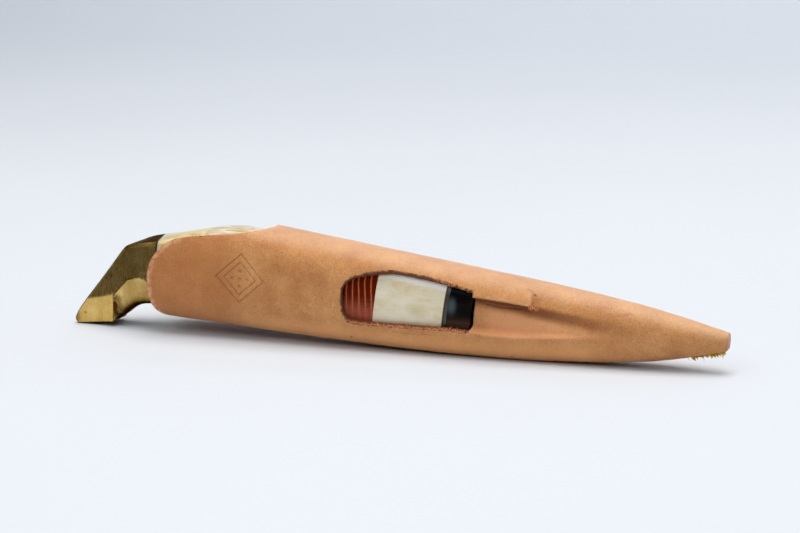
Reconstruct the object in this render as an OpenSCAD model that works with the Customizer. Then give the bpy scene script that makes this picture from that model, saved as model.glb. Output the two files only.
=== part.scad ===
// Puukko knife in its leather sheath, resting on the lower edge of the sheath and the tip of its pommel.
// Every piece is drawn along the line that the knife is drawn out on: x runs from the front of the
// bolster towards the blade's tip, z runs up from the belly of the handle, and y is 0 in the middle.
// place() then sets the whole object down on the surface that it rests on.

/* [Blade] */
// Length of the blade in front of the bolster
blade_length = 66; // [56:1:72]
// Height of the blade where it leaves the bolster
blade_height = 15.4; // [13:0.2:16.4]
// Thickness of the blade's back
blade_thickness = 3.2; // [2.4:0.1:4]
// Height of the ground bevel above the cutting edge
bevel_height = 7; // [5:0.5:9]
// How far the blade's back lies under the back of the handle
blade_back_drop = 2.6; // [2:0.1:4]
// Height of the flat tang inside the handle
tang_height = 7; // [5:0.5:9]
// Thickness of the flat tang
tang_thickness = 3; // [2:0.1:3.6]
// Diameter of the round end of the tang that goes through the pommel
tang_rod = 4.4; // [3:0.2:5]
// Gap between the tang and the holes it passes through
tang_gap = 0.15; // [0.1:0.05:0.4]

/* [Handle] */
// Length of the black horn bolster
bolster_length = 7.3; // [5:0.1:12]
// Thickness of the metal plate behind the bolster
plate_thickness = 0.9; // [0.6:0.1:2]
// Thickness of the dark fibre sheet behind the plate
fibre_thickness = 0.5; // [0.4:0.1:1.5]
// Length of the bone block that the window shows
front_bone_length = 21.7; // [18:0.1:26]
// Length of the red birch block
birch_length = 26; // [20:0.5:32]
// Length of the white bone block
white_bone_length = 33.8; // [28:0.1:42]
// Length of the yellow bone block next to the pommel
yellow_bone_length = 17.6; // [12:0.1:20]
// Thickness of the black spacer in front of the pommel
spacer_thickness = 0.6; // [0.5:0.1:2]
// Thickness of the handle at its widest
handle_width = 20; // [18:0.2:22]
// Thickness of the handle at the front of the bolster
bolster_width = 16.8; // [15:0.2:18]
// Thickness of the handle where the pommel begins
neck_width = 17.6; // [15:0.2:18]
// Height of the handle at its tallest
swell_height = 29.1; // [27:0.1:31]
// Height of the handle under the mouth of the sheath
mouth_height = 28; // [26.5:0.1:29]
// Height of the handle at the front of the bolster
bolster_height = 21.4; // [20:0.1:23]
// Height of the handle where the pommel begins
neck_height = 21.6; // [19:0.1:23]
// How far in front of the pommel the handle is tallest
swell_from_neck = 30.4; // [26:0.2:36]
// Angle that the joints between the blocks lean forward
joint_lean = 4; // [0:0.5:6]

/* [Pommel] */
// Length of the pommel from the spacer to the tip of its beak
pommel_length = 27.6; // [22:0.1:32]
// How far the beak reaches below the belly of the handle
beak_drop = 8.8; // [6:0.1:11]
// Thickness of the beak
beak_width = 10.6; // [9:0.1:14]
// Length of the beak's underside
beak_foot = 14.6; // [11:0.1:18]

/* [Leather] */
// Thickness of the leather
leather = 2.2; // [1.6:0.1:2.8]
// Gap between the handle and the leather
fit = 0.25; // [0.2:0.05:0.5]
// How far in front of the handle's tallest point the leather closes over its back
mouth_from_swell = 10; // [5:0.5:14]
// How far the tongue stops short of the pommel
tongue_short = 2.4; // [2:0.2:12]
// Radius of the upper corner of the tongue
tongue_top_radius = 9; // [5:0.5:11]
// Radius of the lower corner of the tongue
tongue_low_radius = 4; // [2:0.5:6]
// How far the upper corner of the tongue lies under the handle's tallest line
tongue_drop = 4.3; // [3:0.1:8]
// Length of the sheath in front of the blade's tip
toe_length = 10.5; // [8:0.5:14]
// Height of the leather at the toe
toe_height = 5.2; // [4.8:0.1:7]
// Depth of the flat worn where the sheath rests
rest_flat = 0.3; // [0.1:0.1:0.6]

/* [Window] */
// Length of the window in the leather
window_length = 41.4; // [30:0.2:44]
// How far the window's upper edge lies under the back of the handle
window_top = 1.5; // [1:0.1:4]
// How far the window's lower edge lies above the belly of the handle
window_bottom = 5.2; // [4:0.1:8]
// Radius of the window's upper rear corner
window_big_radius = 8; // [5:0.5:8.5]
// Radius of the window's lower rear corner
window_small_radius = 3.5; // [1:0.5:4]
// Length of the dent pressed into the leather in front of the window
dent_length = 46; // [36:1:50]
// Gap between the pressed leather and the liner
dent_gap = 0.3; // [0.2:0.1:1]

/* [Liner] */
// Thickness of the wooden liner, both halves together
liner_width = 9.2; // [8:0.1:10]
// Gap between the blade and the slot in the liner
slot_gap = 0.5; // [0.3:0.1:0.8]
// Gap between the bolster and the end of the liner
liner_start = 0.4; // [0.3:0.1:1]

/* [Seam] */
// Distance from one stitch to the next
stitch_pitch = 4.6; // [3.5:0.1:6]
// Length of one stitch on the surface
stitch_length = 3.4; // [2.4:0.1:4]
// Diameter of the thread
thread = 1; // [0.8:0.05:1.05]
// Width of the groove that the stitches lie in
groove_width = 2; // [1.6:0.1:2.2]
// Depth of the groove that the stitches lie in
groove_depth = 1.2; // [1.1:0.05:1.4]

/* [Belt loop] */
// Width of the strap
strap_width = 16; // [12:0.5:18]
// Thickness of the strap
strap = 2.2; // [1.8:0.1:2.8]
// Gap in the loop for the thickness of a belt
belt_gap = 6.2; // [6:0.1:8]
// Length of the loop outside
loop_length = 50; // [40:1:54]
// Height of the strap's lower edge above the belly of the handle
strap_low = 4; // [2:0.5:6]
// Diameter of the waxed cord that laces the loop on
lacing = 1.2; // [1:0.1:1.6]
// Distance between the two bands of lacing
lacing_spread = 12; // [8:0.5:16]
// Diameter of the knot under the lower edge
knot = 2; // [1.6:0.1:2.6]

/* [Hidden] */

around = 40;
bone_color = "#d8d3bf";
leather_color = "#c98f5f";

// Where each joint of the handle lies, from the bolster's front towards the pommel
at_plate = -bolster_length;
at_fibre = at_plate - plate_thickness;
at_front_bone = at_fibre - fibre_thickness;
at_birch = at_front_bone - front_bone_length;
at_white_bone = at_birch - birch_length;
at_yellow_bone = at_white_bone - white_bone_length;
at_spacer = at_yellow_bone - yellow_bone_length;
at_pommel = at_spacer - spacer_thickness;
at_swell = at_pommel + swell_from_neck;
at_mouth = at_swell + mouth_from_swell;
at_toe = blade_length + toe_length;
wrap = fit + leather;
lean = tan(joint_lean);

// The form that the leather was moulded on: half its thickness, its belly and its back along x
neck_belly = 0.9;
bolster_belly = 1.5;
toe_middle = 13.2;
toe_core = toe_height / 2 - wrap;
half_stations = [
    [at_pommel, neck_width / 2], [at_swell - 12, handle_width / 2 - 0.4], [at_swell, handle_width / 2],
    [-48, handle_width / 2], [-30, handle_width / 2 - 0.4], [0, bolster_width / 2],
    [16, 7.4], [32, 6.1], [48, 4.7], [blade_length - 4, 3], [at_toe, 0.1]
];
belly_stations = [
    [at_pommel, neck_belly], [at_pommel + 10, 0.4], [at_swell, 0.35], [-42, 0.4], [-14, 0.9],
    [0, bolster_belly], [16, 2.3], [32, 3.8], [48, 5.9], [blade_length - 4, 8.9], [at_toe, toe_middle - toe_core]
];
back_stations = [
    [at_pommel, neck_belly + neck_height], [at_swell - 10, swell_height - 1.3], [at_swell, swell_height],
    [at_mouth, mouth_height], [-14, mouth_height - 4.3], [0, bolster_belly + bolster_height - 0.4],
    [16, 21.4], [32, 20], [48, 18.3], [blade_length - 4, 16.1], [at_toe, toe_middle + toe_core]
];
// How square the section is along x, where 2 is an ellipse
power_stations = [
    [at_pommel, 2.4], [at_swell, 2.75], [-42, 2.7], [-24, 2.8], [0, 2.9], [16, 2.8], [48, 2.5], [at_toe, 2.3]
];

// A smooth curve through stations [x, value], straight on past its ends
function slope(s, i) =
    i == 0 ? (s[1][1] - s[0][1]) / (s[1][0] - s[0][0])
    : i == len(s) - 1 ? (s[i][1] - s[i - 1][1]) / (s[i][0] - s[i - 1][0])
    : (s[i + 1][1] - s[i - 1][1]) / (s[i + 1][0] - s[i - 1][0]);
function span(s, x, i = 0) = i >= len(s) - 2 || x < s[i + 1][0] ? i : span(s, x, i + 1);
function blend(a, b, ta, tb, h, t) =
    a * (1 + 2 * t) * (1 - t) * (1 - t) + h * ta * t * (1 - t) * (1 - t)
    + b * t * t * (3 - 2 * t) + h * tb * t * t * (t - 1);
function curve(s, x) =
    let (i = span(s, x), h = s[i + 1][0] - s[i][0], t = max(0, min(1, (x - s[i][0]) / h)))
    blend(s[i][1], s[i + 1][1], slope(s, i), slope(s, i + 1), h, t);
function half_at(x) = curve(half_stations, x);
function belly_at(x) = curve(belly_stations, x);
function back_at(x) = curve(back_stations, x);
function ease(t) = let (c = max(0, min(1, t))) c * c * (3 - 2 * c);
function steps(from, to, count) = [for (i = [0:count]) from + (to - from) * i / count];

function power_at(x) = curve(power_stations, x);

// A point on an oval section at angle a, where 0 is +y and 90 is the back
function signed(v, p) = sign(v) * pow(abs(v), p);
function oval_y(a, half, power) = half * signed(cos(a), 2 / power);
function oval_z(a, low, high, power) = (low + high) / 2 + (high - low) / 2 * signed(sin(a), 2 / power);

// One ring of the handle in a plane that leans like the joints
function handle_ring(x) = [
    for (i = [0:around - 1])
        let (
            a = 360 * i / around,
            middle = (belly_at(x) + back_at(x)) / 2,
            z_flat = oval_z(a, belly_at(x), back_at(x), power_at(x)),
            near_x = x + lean * (z_flat - middle),
            z = oval_z(a, belly_at(near_x), back_at(near_x), power_at(x))
        )
        [x + lean * (z - middle), oval_y(a, half_at(near_x), power_at(x)), z]
];

// Rings joined into one closed solid
module loft(rings) {
    n = len(rings[0]);
    m = len(rings);
    polyhedron(
        points = [for (r = rings) for (p = r) p],
        faces = concat(
            [[for (i = [n - 1:-1:0]) i]],
            [[for (i = [0:n - 1]) (m - 1) * n + i]],
            [for (k = [0:m - 2]) for (i = [0:n - 1]) [k * n + i, (k + 1) * n + (i + 1) % n, (k + 1) * n + i]],
            [for (k = [0:m - 2]) for (i = [0:n - 1]) [k * n + i, k * n + (i + 1) % n, (k + 1) * n + (i + 1) % n]]
        ),
        convexity = 6
    );
}

// A flat outline in x and z, made into a plate from y = from to y = to
module plate(from, to) {
    translate([0, to, 0]) rotate([90, 0, 0]) linear_extrude(to - from) children();
}

// How far a point at height z, on something that starts at the bolster's front, leans forward
bolster_middle = bolster_belly + bolster_height / 2;
function leaning(x, z) = x + lean * (z - bolster_middle) * max(0, 1 - x / 8);

// The blade
blade_point = [blade_length, 12.7];
tang_middle = 11.2;
blade_back = [
    [0, bolster_belly + bolster_height - blade_back_drop], [38, back_at(38) - blade_back_drop + 0.6],
    [54, 16.3], [blade_length, blade_point[1] + 0.25]
];
blade_edge = [
    [0, blade_back[0][1] - blade_height], [36, blade_back[0][1] - blade_height + 1.6], [52, 8.7],
    [blade_length, blade_point[1] - 0.25]
];
function bevel_at(x) =
    let (low = curve(blade_edge, x), high = curve(blade_back, x))
    low + min(bevel_height, 0.66 * (high - low));
function blade_half(x) = blade_thickness / 2 * min(1, 0.12 + (blade_length - x) / 12);
function blade_ring(x) =
    let (h = blade_half(x), back = curve(blade_back, x), low = curve(blade_edge, x), bevel = bevel_at(x))
    [
        [leaning(x, low), 0, low], [leaning(x, bevel), -h, bevel], [leaning(x, back), -h, back],
        [leaning(x, back), h, back], [leaning(x, bevel), h, bevel]
    ];

rod_start = at_spacer - 0.2;
module tang(gap) {
    h = tang_height / 2 + gap;
    plate(-tang_thickness / 2 - gap, tang_thickness / 2 + gap)
        polygon([
            [1, tang_middle - h], [1, tang_middle + h], [rod_start - gap, tang_middle + h - 1],
            [rod_start - gap, tang_middle - h + 1]
        ]);
}
module tang_end(gap, from, to) {
    translate([to, 0, tang_middle]) rotate([0, 90, 0]) cylinder(h = from - to, d = tang_rod + 2 * gap, $fn = 48);
}

// Everything behind the pommel's slanted back, which the peened end of the tang is filed flush with
module behind_back(proud) {
    along = unit(slant_high - slant_low);
    out = [-along[1], along[0]];
    start = slant_high + out * proud;
    plate(-tang_rod, tang_rod)
        polygon([start + along * 9, start - along * 30, start - along * 30 + out * 40, start + along * 9 + out * 40]);
}

module blade() {
    color("silver") place() difference() {
        union() {
            loft([for (x = concat(steps(0, 48, 8), steps(50.5, blade_length, 9))) blade_ring(x)]);
            tang(0);
            tang_end(0, rod_start + 4, beak_tip);
        }
        behind_back(0.2);
    }
}

// The blocks of the handle, threaded on the tang
module block(from, to, count) {
    difference() {
        loft([for (x = steps(to, from, count)) handle_ring(x)]);
        tang(tang_gap);
        tang_end(tang_gap, 0, at_pommel - 2);
    }
}
module front_bolster() { color("#141416") place() block(0, at_plate, 3); }
module bolster_plate() { color("#8f8c86") place() block(at_plate, at_fibre, 1); }
module fibre_sheet() { color("#3f3a34") place() block(at_fibre, at_front_bone, 1); }
module front_bone_block() { color(bone_color) place() block(at_front_bone, at_birch, 5); }
module red_birch_block() { color("#7a2a14") place() block(at_birch, at_white_bone, 5); }
module white_bone_block() { color("#e6e2d6") place() block(at_white_bone, at_yellow_bone, 8); }
module yellow_bone_block() { color("#d9cd9c") place() block(at_yellow_bone, at_spacer, 4); }
module pommel_spacer() { color("#1c1a18") place() block(at_spacer, at_pommel, 1); }

// The pommel: rings that fan round the notch, each from a point under it to a point on its back
beak_tip = at_pommel - pommel_length;
beak_back = beak_tip + beak_foot;
slant_high = [at_pommel - 10.6, neck_belly + neck_height - 3.8];
slant_low = [beak_tip + 6.2, 12 - beak_drop];
pommel_under = [
    [at_pommel, neck_belly], [at_pommel - 2.2, 0.4], [at_pommel - 4.2, -0.1], [at_pommel - 6, -1.2],
    [beak_back + 4.2, -2.7], [beak_back + 3.2, 4.7 - beak_drop], [beak_back + 2.2, 3.7 - beak_drop],
    [beak_back + 1.1, 3 - beak_drop], [beak_back + 0.4, 2.6 - beak_drop], [beak_back - 0.2, 2.3 - beak_drop],
    [beak_back - 1, 2.1 - beak_drop]
];
pommel_top = [
    [at_pommel, neck_belly + neck_height], [at_pommel - 4, neck_belly + neck_height - 1],
    [at_pommel - 7.4, neck_belly + neck_height - 2.1], slant_high, (2 * slant_high + slant_low) / 3,
    (slant_high + 2 * slant_low) / 3, slant_low, [beak_tip + 3.3, 8.2 - beak_drop], [beak_tip + 0.8, 4.2 - beak_drop],
    [beak_tip, 1.4 - beak_drop], [beak_tip + 1, 0.2 - beak_drop]
];
pommel_power = [power_at(at_pommel), 2.5, 2.7, 2.9, 3.1, 3.3, 3.5, 3.6, 3.6, 3.5, 3.3];
pommel_inset = [0, 0, 0, 0, 0, 0, 0, 0, 0, 0.1, 0.9];
// How much wider the pommel's section is low down than high up
pommel_flare = 0.2;
function pommel_half(k) =
    neck_width / 2 + (beak_width - neck_width) / 2 * ease(k / 6) - pommel_inset[k];
function pommel_ring(k) = [
    for (i = [0:around - 1])
        let (
            a = 360 * i / around,
            r = oval_z(a, 0, 1, pommel_power[k]),
            flare = 1 + pommel_flare * ease(k / 2) * (0.5 - r),
            p = pommel_under[k] + (pommel_top[k] - pommel_under[k]) * r,
            sheared = k == 0 ? p[0] + lean * (p[1] - (neck_belly + neck_height / 2)) : p[0]
        )
        [sheared, oval_y(a, pommel_half(k), pommel_power[k]) * flare, p[1]]
];
module brass_pommel() {
    color("#a08440") place() difference() {
        loft([for (k = [len(pommel_under) - 1:-1:0]) pommel_ring(k)]);
        tang_end(tang_gap, 0, at_pommel - pommel_length);
    }
}

// The sheath. Behind the handle's tallest point the leather runs straight on, so that the handle
// can be drawn out of it
function dent_room(x) = half_at(x) + fit - liner_width / 2 - dent_gap;
function dent_at(x, z) =
    x < liner_start ? 0
    : max(0, dent_room(max(x, 2))) * (1 - ease((x - 12) / (dent_length - 12)))
      * ease((z - belly_at(x) - 5.5) / 2.3) * ease((back_at(x) - 3 - z) / 2.5);
function pressed_in(x, y, z) =
    dent_at(x, z) * min(1, abs(y) / 3) * (y < 0 ? 1 : 0.5 * ease((x - liner_start) / 12));
function sheath_point(x, a, grow) =
    let (
        u = max(x, at_swell),
        z = oval_z(a, belly_at(u) - grow, back_at(u) + grow, power_at(u)),
        y = oval_y(a, half_at(u) + grow, power_at(u))
    )
    [x, y - sign(y) * pressed_in(x, y, z), max(z, rest_at(x) + grow - wrap)];
function sheath_ring(x, grow) = [for (i = [0:around - 1]) sheath_point(x, 360 * i / around, grow)];
tongue_end = at_pommel + tongue_short;
sheath_x = concat(
    steps(tongue_end - 1, at_swell, 3), steps(at_swell + 4, at_mouth, 2), steps(at_mouth + 6, -6, 8), [-1, liner_start - 0.1],
    steps(liner_start + 0.4, 12, 4), steps(16, dent_length, 7), steps(dent_length + 4, at_toe - 8, 4),
    steps(at_toe - 5, at_toe, 2)
);
hollow_end = blade_length + 3.5;
hollow_x = [for (x = sheath_x) if (x < hollow_end) x];

// What the knife rests on, as a height over x
rest_x = 12;
rest_from = [beak_tip + 1, 0.2 - beak_drop];
rest_to = [rest_x, belly_at(rest_x) - wrap + rest_flat];
rest_slope = (rest_to[1] - rest_from[1]) / (rest_to[0] - rest_from[0]);
rest_angle = atan(rest_slope);
function rest_at(x) = rest_to[1] + rest_slope * (x - rest_to[0]);

module corner(x, z, r) { translate([x, z]) circle(r = r, $fn = 48); }
module tongue_outline(high) {
    hull() {
        corner(tongue_end + tongue_low_radius, tongue_low_radius - wrap, tongue_low_radius);
        if (high) corner(
            tongue_end + tongue_top_radius, swell_height - tongue_drop - tongue_top_radius, tongue_top_radius
        );
        polygon([
            [at_mouth + 1, -wrap - 4], [at_mouth + 1, mouth_height + wrap + 1],
            [at_mouth - 0.5, mouth_height + wrap - 0.3], [tongue_end + tongue_low_radius, -wrap - 4]
        ]);
    }
}
module mouth_cut(high) {
    difference() {
        translate([tongue_end - 6, -wrap - 6]) square([at_mouth - tongue_end + 6.5, swell_height + 2 * wrap + 8]);
        tongue_outline(high);
    }
}
window_front = liner_start + 0.15;
window_rear = window_front - window_length;
module window_outline() {
    hull() {
        corner(
            window_rear + window_big_radius, belly_at(window_rear) + window_bottom + window_big_radius + 0.3,
            window_big_radius
        );
        corner(window_rear + 15, back_at(window_rear + 15) - window_top - 4, 4);
        corner(
            window_rear + window_small_radius, belly_at(window_rear) + window_bottom + window_small_radius,
            window_small_radius
        );
        corner(window_front - 2, back_at(0) - window_top - 2.2, 2);
        corner(window_front - 0.8, belly_at(0) + window_bottom + 1.6, 0.8);
    }
}

// The seam runs down the middle of the back face and turns under the lower edge near the toe
seam_start = at_mouth + 3;
seam_end = at_toe - 3;
function seam_angle(x) = -90 * ease((x - 4) / (blade_length - 10));
function skin(x, a, depth) = sheath_point(x, a, wrap - depth);
function unit(v) = v / norm(v);
function groove_ring(x) =
    let (
        a = seam_angle(x),
        p = skin(x, a, 0),
        side = unit(skin(x, a + 4, 0) - skin(x, a - 4, 0)) * groove_width / 2,
        out = unit(cross(side, [1, 0, 0]))
    )
    [p - side - out * groove_depth, p + side - out * groove_depth, p + side + out, p - side + out];

module sheath_leather() {
    color(leather_color) place() difference() {
        loft(concat(
            [for (k = [len(hollow_x) - 1:-1:0]) sheath_ring(hollow_x[k], fit)],
            [for (x = sheath_x) sheath_ring(x, wrap)]
        ));
        plate(-30, 0) mouth_cut(true);
        plate(0, 30) mouth_cut(false);
        plate(-30, 0) window_outline();
        loft([for (x = steps(seam_start - 4, seam_end + 6, 42)) groove_ring(x)]);
    }
}

// The liner: two halves of wood glued round the blade's slot
liner_end = blade_length + 2.4;
function liner_half(x) = min(liner_width / 2, half_at(x) - 0.1);
function liner_ring(x) = [
    for (i = [0:around - 1])
        let (a = 360 * i / around, z = oval_z(a, belly_at(x), back_at(x), 2.8))
        [leaning(x, z), oval_y(a, liner_half(x), 2.8), z]
];
slot_x = steps(-1, blade_length, 14);
module slot_outline() {
    polygon(concat(
        [for (x = slot_x) [x, curve(blade_back, max(x, 0)) + slot_gap]],
        [[blade_length + slot_gap, blade_point[1]]],
        [for (k = [len(slot_x) - 1:-1:0]) [slot_x[k], curve(blade_edge, max(slot_x[k], 0)) - slot_gap]]
    ));
}
module liner_part(from, to) {
    intersection() {
        difference() {
            loft([for (x = concat(steps(liner_start, 48, 8), steps(52, liner_end, 4))) liner_ring(x)]);
            plate(-blade_thickness / 2 - slot_gap / 2, blade_thickness / 2 + slot_gap / 2) slot_outline();
        }
        translate([-2, from, -5]) cube([liner_end + 10, to - from, 40]);
    }
}
module liner_near_half() { color("#d9bf8f") place() liner_part(-10, 0); }
module liner_far_half() { color("#cdb382") place() liner_part(0, 10); }

// The seam's stitches
stitch_count = floor((seam_end - seam_start - stitch_length) / stitch_pitch) + 1;
module rod(a, b, d) {
    v = b - a;
    translate(a) rotate([0, acos(v[2] / norm(v)), atan2(v[1], v[0])]) cylinder(h = norm(v), d = d, $fn = 20);
}
module seam_thread() {
    sink = groove_depth - thread / 2 - 0.15;
    color("#d8b51f") place() for (i = [0:stitch_count - 1]) {
        x = seam_start + i * stitch_pitch;
        rod(
            skin(x, seam_angle(x), sink), skin(x + stitch_length, seam_angle(x + stitch_length), sink), thread
        );
    }
}

// The belt loop: a strap folded into a loop and laced to the back face
loop_front = at_mouth + 12;
loop_y = handle_width / 2 + wrap + 0.05;
loop_depth = 2 * strap + belt_gap;
module loop_outline(inset) {
    r = loop_depth / 2 - inset;
    hull() {
        corner(loop_front - loop_depth / 2, loop_y + loop_depth / 2, r);
        corner(loop_front - loop_length + loop_depth / 2, loop_y + loop_depth / 2, r);
    }
}
module belt_loop() {
    color("#a8703f") place() translate([0, 0, strap_low]) linear_extrude(strap_width) difference() {
        loop_outline(0);
        loop_outline(strap);
    }
}

// The lacing: two bands over the strap's inner leg, and the knot that hangs under the lower edge
lacing_x = loop_front - loop_depth / 2 - 3;
function back_skin(x, z) =
    let (
        u = max(x, at_swell),
        r = (2 * z - belly_at(u) - back_at(u)) / (back_at(u) - belly_at(u) + 2 * wrap)
    )
    (half_at(u) + wrap) * pow(1 - pow(abs(r), power_at(u)), 1 / power_at(u));
module lacing_leg(z) {
    from = max(back_skin(lacing_x, z), back_skin(lacing_x, z + lacing)) + 0.1;
    translate([0, from, z]) cube([lacing, loop_y + strap + lacing + 0.1 - from, lacing]);
}
module band(x) {
    low = strap_low - lacing - 0.1;
    high = strap_low + strap_width + 0.1;
    translate([x - lacing / 2, 0, 0]) union() {
        lacing_leg(low);
        lacing_leg(high);
        translate([0, loop_y + strap + 0.1, low]) cube([lacing, lacing, high - low + lacing]);
    }
}
tail_x = lacing_x - lacing_spread;
tail_angles = steps(-32, -76, 6);
tail_slant = 1.3;
function tail_point(k, depth) = skin(tail_x + tail_slant * k / 6, tail_angles[k], depth);
function tail_ring(k) =
    let (
        middle = tail_point(k, -0.1 - lacing / 2),
        out = unit(tail_point(k, -2) - tail_point(k, -1))
    )
    [for (i = [0:11]) middle + lacing / 2 * (cos(30 * i) * [1, 0, 0] + sin(30 * i) * out)];
module loop_lacing() {
    color("#5a2c1c") place() {
        band(lacing_x);
        band(tail_x);
        loft([for (k = [0:6]) tail_ring(k)]);
        translate(tail_point(6, -0.1 - knot / 2)) sphere(d = knot, $fn = 32);
    }
}

// Sets the object down: the rest line becomes z = 0, and the middle of its length and depth 0
deep = loop_y + loop_depth;
near = handle_width / 2 + wrap;
far_x = at_toe * cos(rest_angle) + (toe_middle - rest_at(0)) * sin(rest_angle);
tip_x = beak_tip * cos(rest_angle) + (-4 - rest_at(0)) * sin(rest_angle);
module place() {
    translate([-(far_x + tip_x) / 2, (near - deep) / 2, 0])
        rotate([0, rest_angle, 0])
            translate([0, 0, -rest_at(0)])
                children();
}

blade();
front_bolster();
bolster_plate();
fibre_sheet();
front_bone_block();
red_birch_block();
white_bone_block();
yellow_bone_block();
pommel_spacer();
brass_pommel();
sheath_leather();
liner_near_half();
liner_far_half();
seam_thread();
belt_loop();
loop_lacing();
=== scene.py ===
"""A puukko knife in its leather sheath: the dressed model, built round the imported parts.

Lengths are in mm along the line that the knife is drawn out on, as in the part's source: x runs towards
the blade's tip, z up from the belly of the handle, and y is 0 in the middle. seated() sets them down.
"""
import math
import random

import bmesh
import bpy
import numpy as np
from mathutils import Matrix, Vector, noise


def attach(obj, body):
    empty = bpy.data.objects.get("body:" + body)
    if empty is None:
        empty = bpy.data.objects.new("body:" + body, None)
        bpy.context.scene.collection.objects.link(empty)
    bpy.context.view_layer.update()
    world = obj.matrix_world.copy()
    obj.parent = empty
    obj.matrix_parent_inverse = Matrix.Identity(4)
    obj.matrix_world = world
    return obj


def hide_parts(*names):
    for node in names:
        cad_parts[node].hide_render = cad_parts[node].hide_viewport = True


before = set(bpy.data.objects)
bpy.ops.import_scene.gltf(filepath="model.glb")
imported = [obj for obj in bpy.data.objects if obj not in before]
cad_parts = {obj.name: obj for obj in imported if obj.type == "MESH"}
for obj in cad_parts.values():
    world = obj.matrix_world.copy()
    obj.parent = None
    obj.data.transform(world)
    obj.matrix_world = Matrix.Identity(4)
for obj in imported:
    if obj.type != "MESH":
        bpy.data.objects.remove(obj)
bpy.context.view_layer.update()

# ---------------------------------------------------------------- the object's measures, in mm
BLADE_LENGTH = 66
AT_PLATE, AT_FIBRE, AT_FRONT_BONE = -7.3, -8.2, -8.7
AT_BIRCH, AT_WHITE_BONE, AT_YELLOW_BONE = -30.4, -56.4, -90.2
AT_SPACER, AT_POMMEL = -107.8, -108.4
AT_SWELL, AT_MOUTH, AT_TOE = -78.0, -68.0, 76.5
LEATHER, FIT = 2.2, 0.25
WRAP = LEATHER + FIT
LINER_WIDTH, LINER_START, DENT_START, DENT_GAP, DENT_LENGTH = 9.2, 0.4, -1.5, 0.3, 46
HOLLOW_END = BLADE_LENGTH + 3.5
LEAN = math.tan(math.radians(4))
TANG_MIDDLE, TANG_HEIGHT, TANG_THICKNESS, TANG_ROD, TANG_GAP = 11.2, 7, 3, 4.4, 0.15
THREAD, LACING, KNOT = 1.0, 1.2, 2.0
STRAP, STRAP_WIDTH, STRAP_LOW, LOOP_LENGTH, LOOP_DEPTH = 2.2, 16, 4, 50, 10.6
LOOP_FRONT, LOOP_Y = -56.0, 12.5
SEAM_START, SEAM_END, STITCH_PITCH, STITCH_LENGTH, GROOVE_DEPTH = AT_MOUTH + 3, AT_TOE - 3, 4.6, 3.4, 1.2

# How the object stands in the row frame
REST_ANGLE = math.radians(3.30867)
REST_ZERO, SHIFT_X, SHIFT_Y = -0.795456, 29.389, -5.325
REST_X, REST_HEIGHT = 12, -0.1035

# The handle and the sheath's form, each from the pommel to the toe: half the width, the heights of belly and
# back, and the power that rounds the section
HALF = [(AT_POMMEL, 8.8), (-90, 9.6), (-78, 10), (-48, 10), (-30, 9.6), (0, 8.4), (16, 7.4), (32, 6.1), (48, 4.7),
        (62, 3), (AT_TOE, 0.1)]
BELLY = [(AT_POMMEL, 0.9), (-98.4, 0.4), (-78, 0.35), (-42, 0.4), (-14, 0.9), (0, 1.5), (16, 2.3), (32, 3.8),
         (48, 5.9), (62, 8.9), (AT_TOE, 13.05)]
BACK = [(AT_POMMEL, 22.5), (-88, 27.8), (-78, 29.1), (-68, 28), (-14, 23.7), (0, 22.5), (16, 21.4), (32, 20),
        (48, 18.3), (62, 16.1), (AT_TOE, 13.35)]
POWER = [(AT_POMMEL, 2.4), (-78, 2.75), (-42, 2.7), (-24, 2.8), (0, 2.9), (16, 2.8), (48, 2.5), (AT_TOE, 2.3)]


def curve(stations, x):
    """The value at x on a smooth line through stations (x, value), held at its ends."""
    xs, vs = np.array(stations, float).T
    rise = np.gradient(vs, xs, edge_order=1)
    rise[1:-1] = (vs[2:] - vs[:-2]) / (xs[2:] - xs[:-2])
    x = np.asarray(x, float)
    i = np.clip(np.searchsorted(xs, x, side="right") - 1, 0, len(xs) - 2)
    h = xs[i + 1] - xs[i]
    t = np.clip((x - xs[i]) / h, 0, 1)
    return (vs[i] * (1 + 2 * t) * (1 - t) ** 2 + h * rise[i] * t * (1 - t) ** 2
            + vs[i + 1] * t * t * (3 - 2 * t) + h * rise[i + 1] * t * t * (t - 1))


def straight(stations, x):
    """The value at x on the straight lines between stations (x, value)."""
    return np.interp(x, *zip(*stations))


def ease(t):
    c = np.clip(t, 0, 1)
    return c * c * (3 - 2 * c)


def signed(v, p):
    return np.sign(v) * np.abs(v) ** p


def seated(points):
    """From the drawing's axes in mm to the row frame in metres."""
    p = np.asarray(points, float)
    x, y, z = p[..., 0], p[..., 1], p[..., 2] - REST_ZERO
    c, s = math.cos(REST_ANGLE), math.sin(REST_ANGLE)
    return np.stack([x * c + z * s + SHIFT_X, y + SHIFT_Y, z * c - x * s], -1) * 0.001


def form_at(x, grow=0.0):
    """The form that the leather was moulded on: its power, its bottom, its top and half its width."""
    u = np.maximum(x, AT_SWELL)
    return curve(POWER, u), curve(BELLY, u) - grow, curve(BACK, u) + grow, curve(HALF, u) + grow


def section(x, turn, grow=0.0):
    """A point on that form: turn is 0 at the belly, pi / 2 on the near side, pi on the back."""
    power, low, high, half = form_at(x, grow)
    y = -half * signed(np.sin(turn), 2 / power)
    z = (low + high) / 2 - (high - low) / 2 * signed(np.cos(turn), 2 / power)
    return y, z


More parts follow.
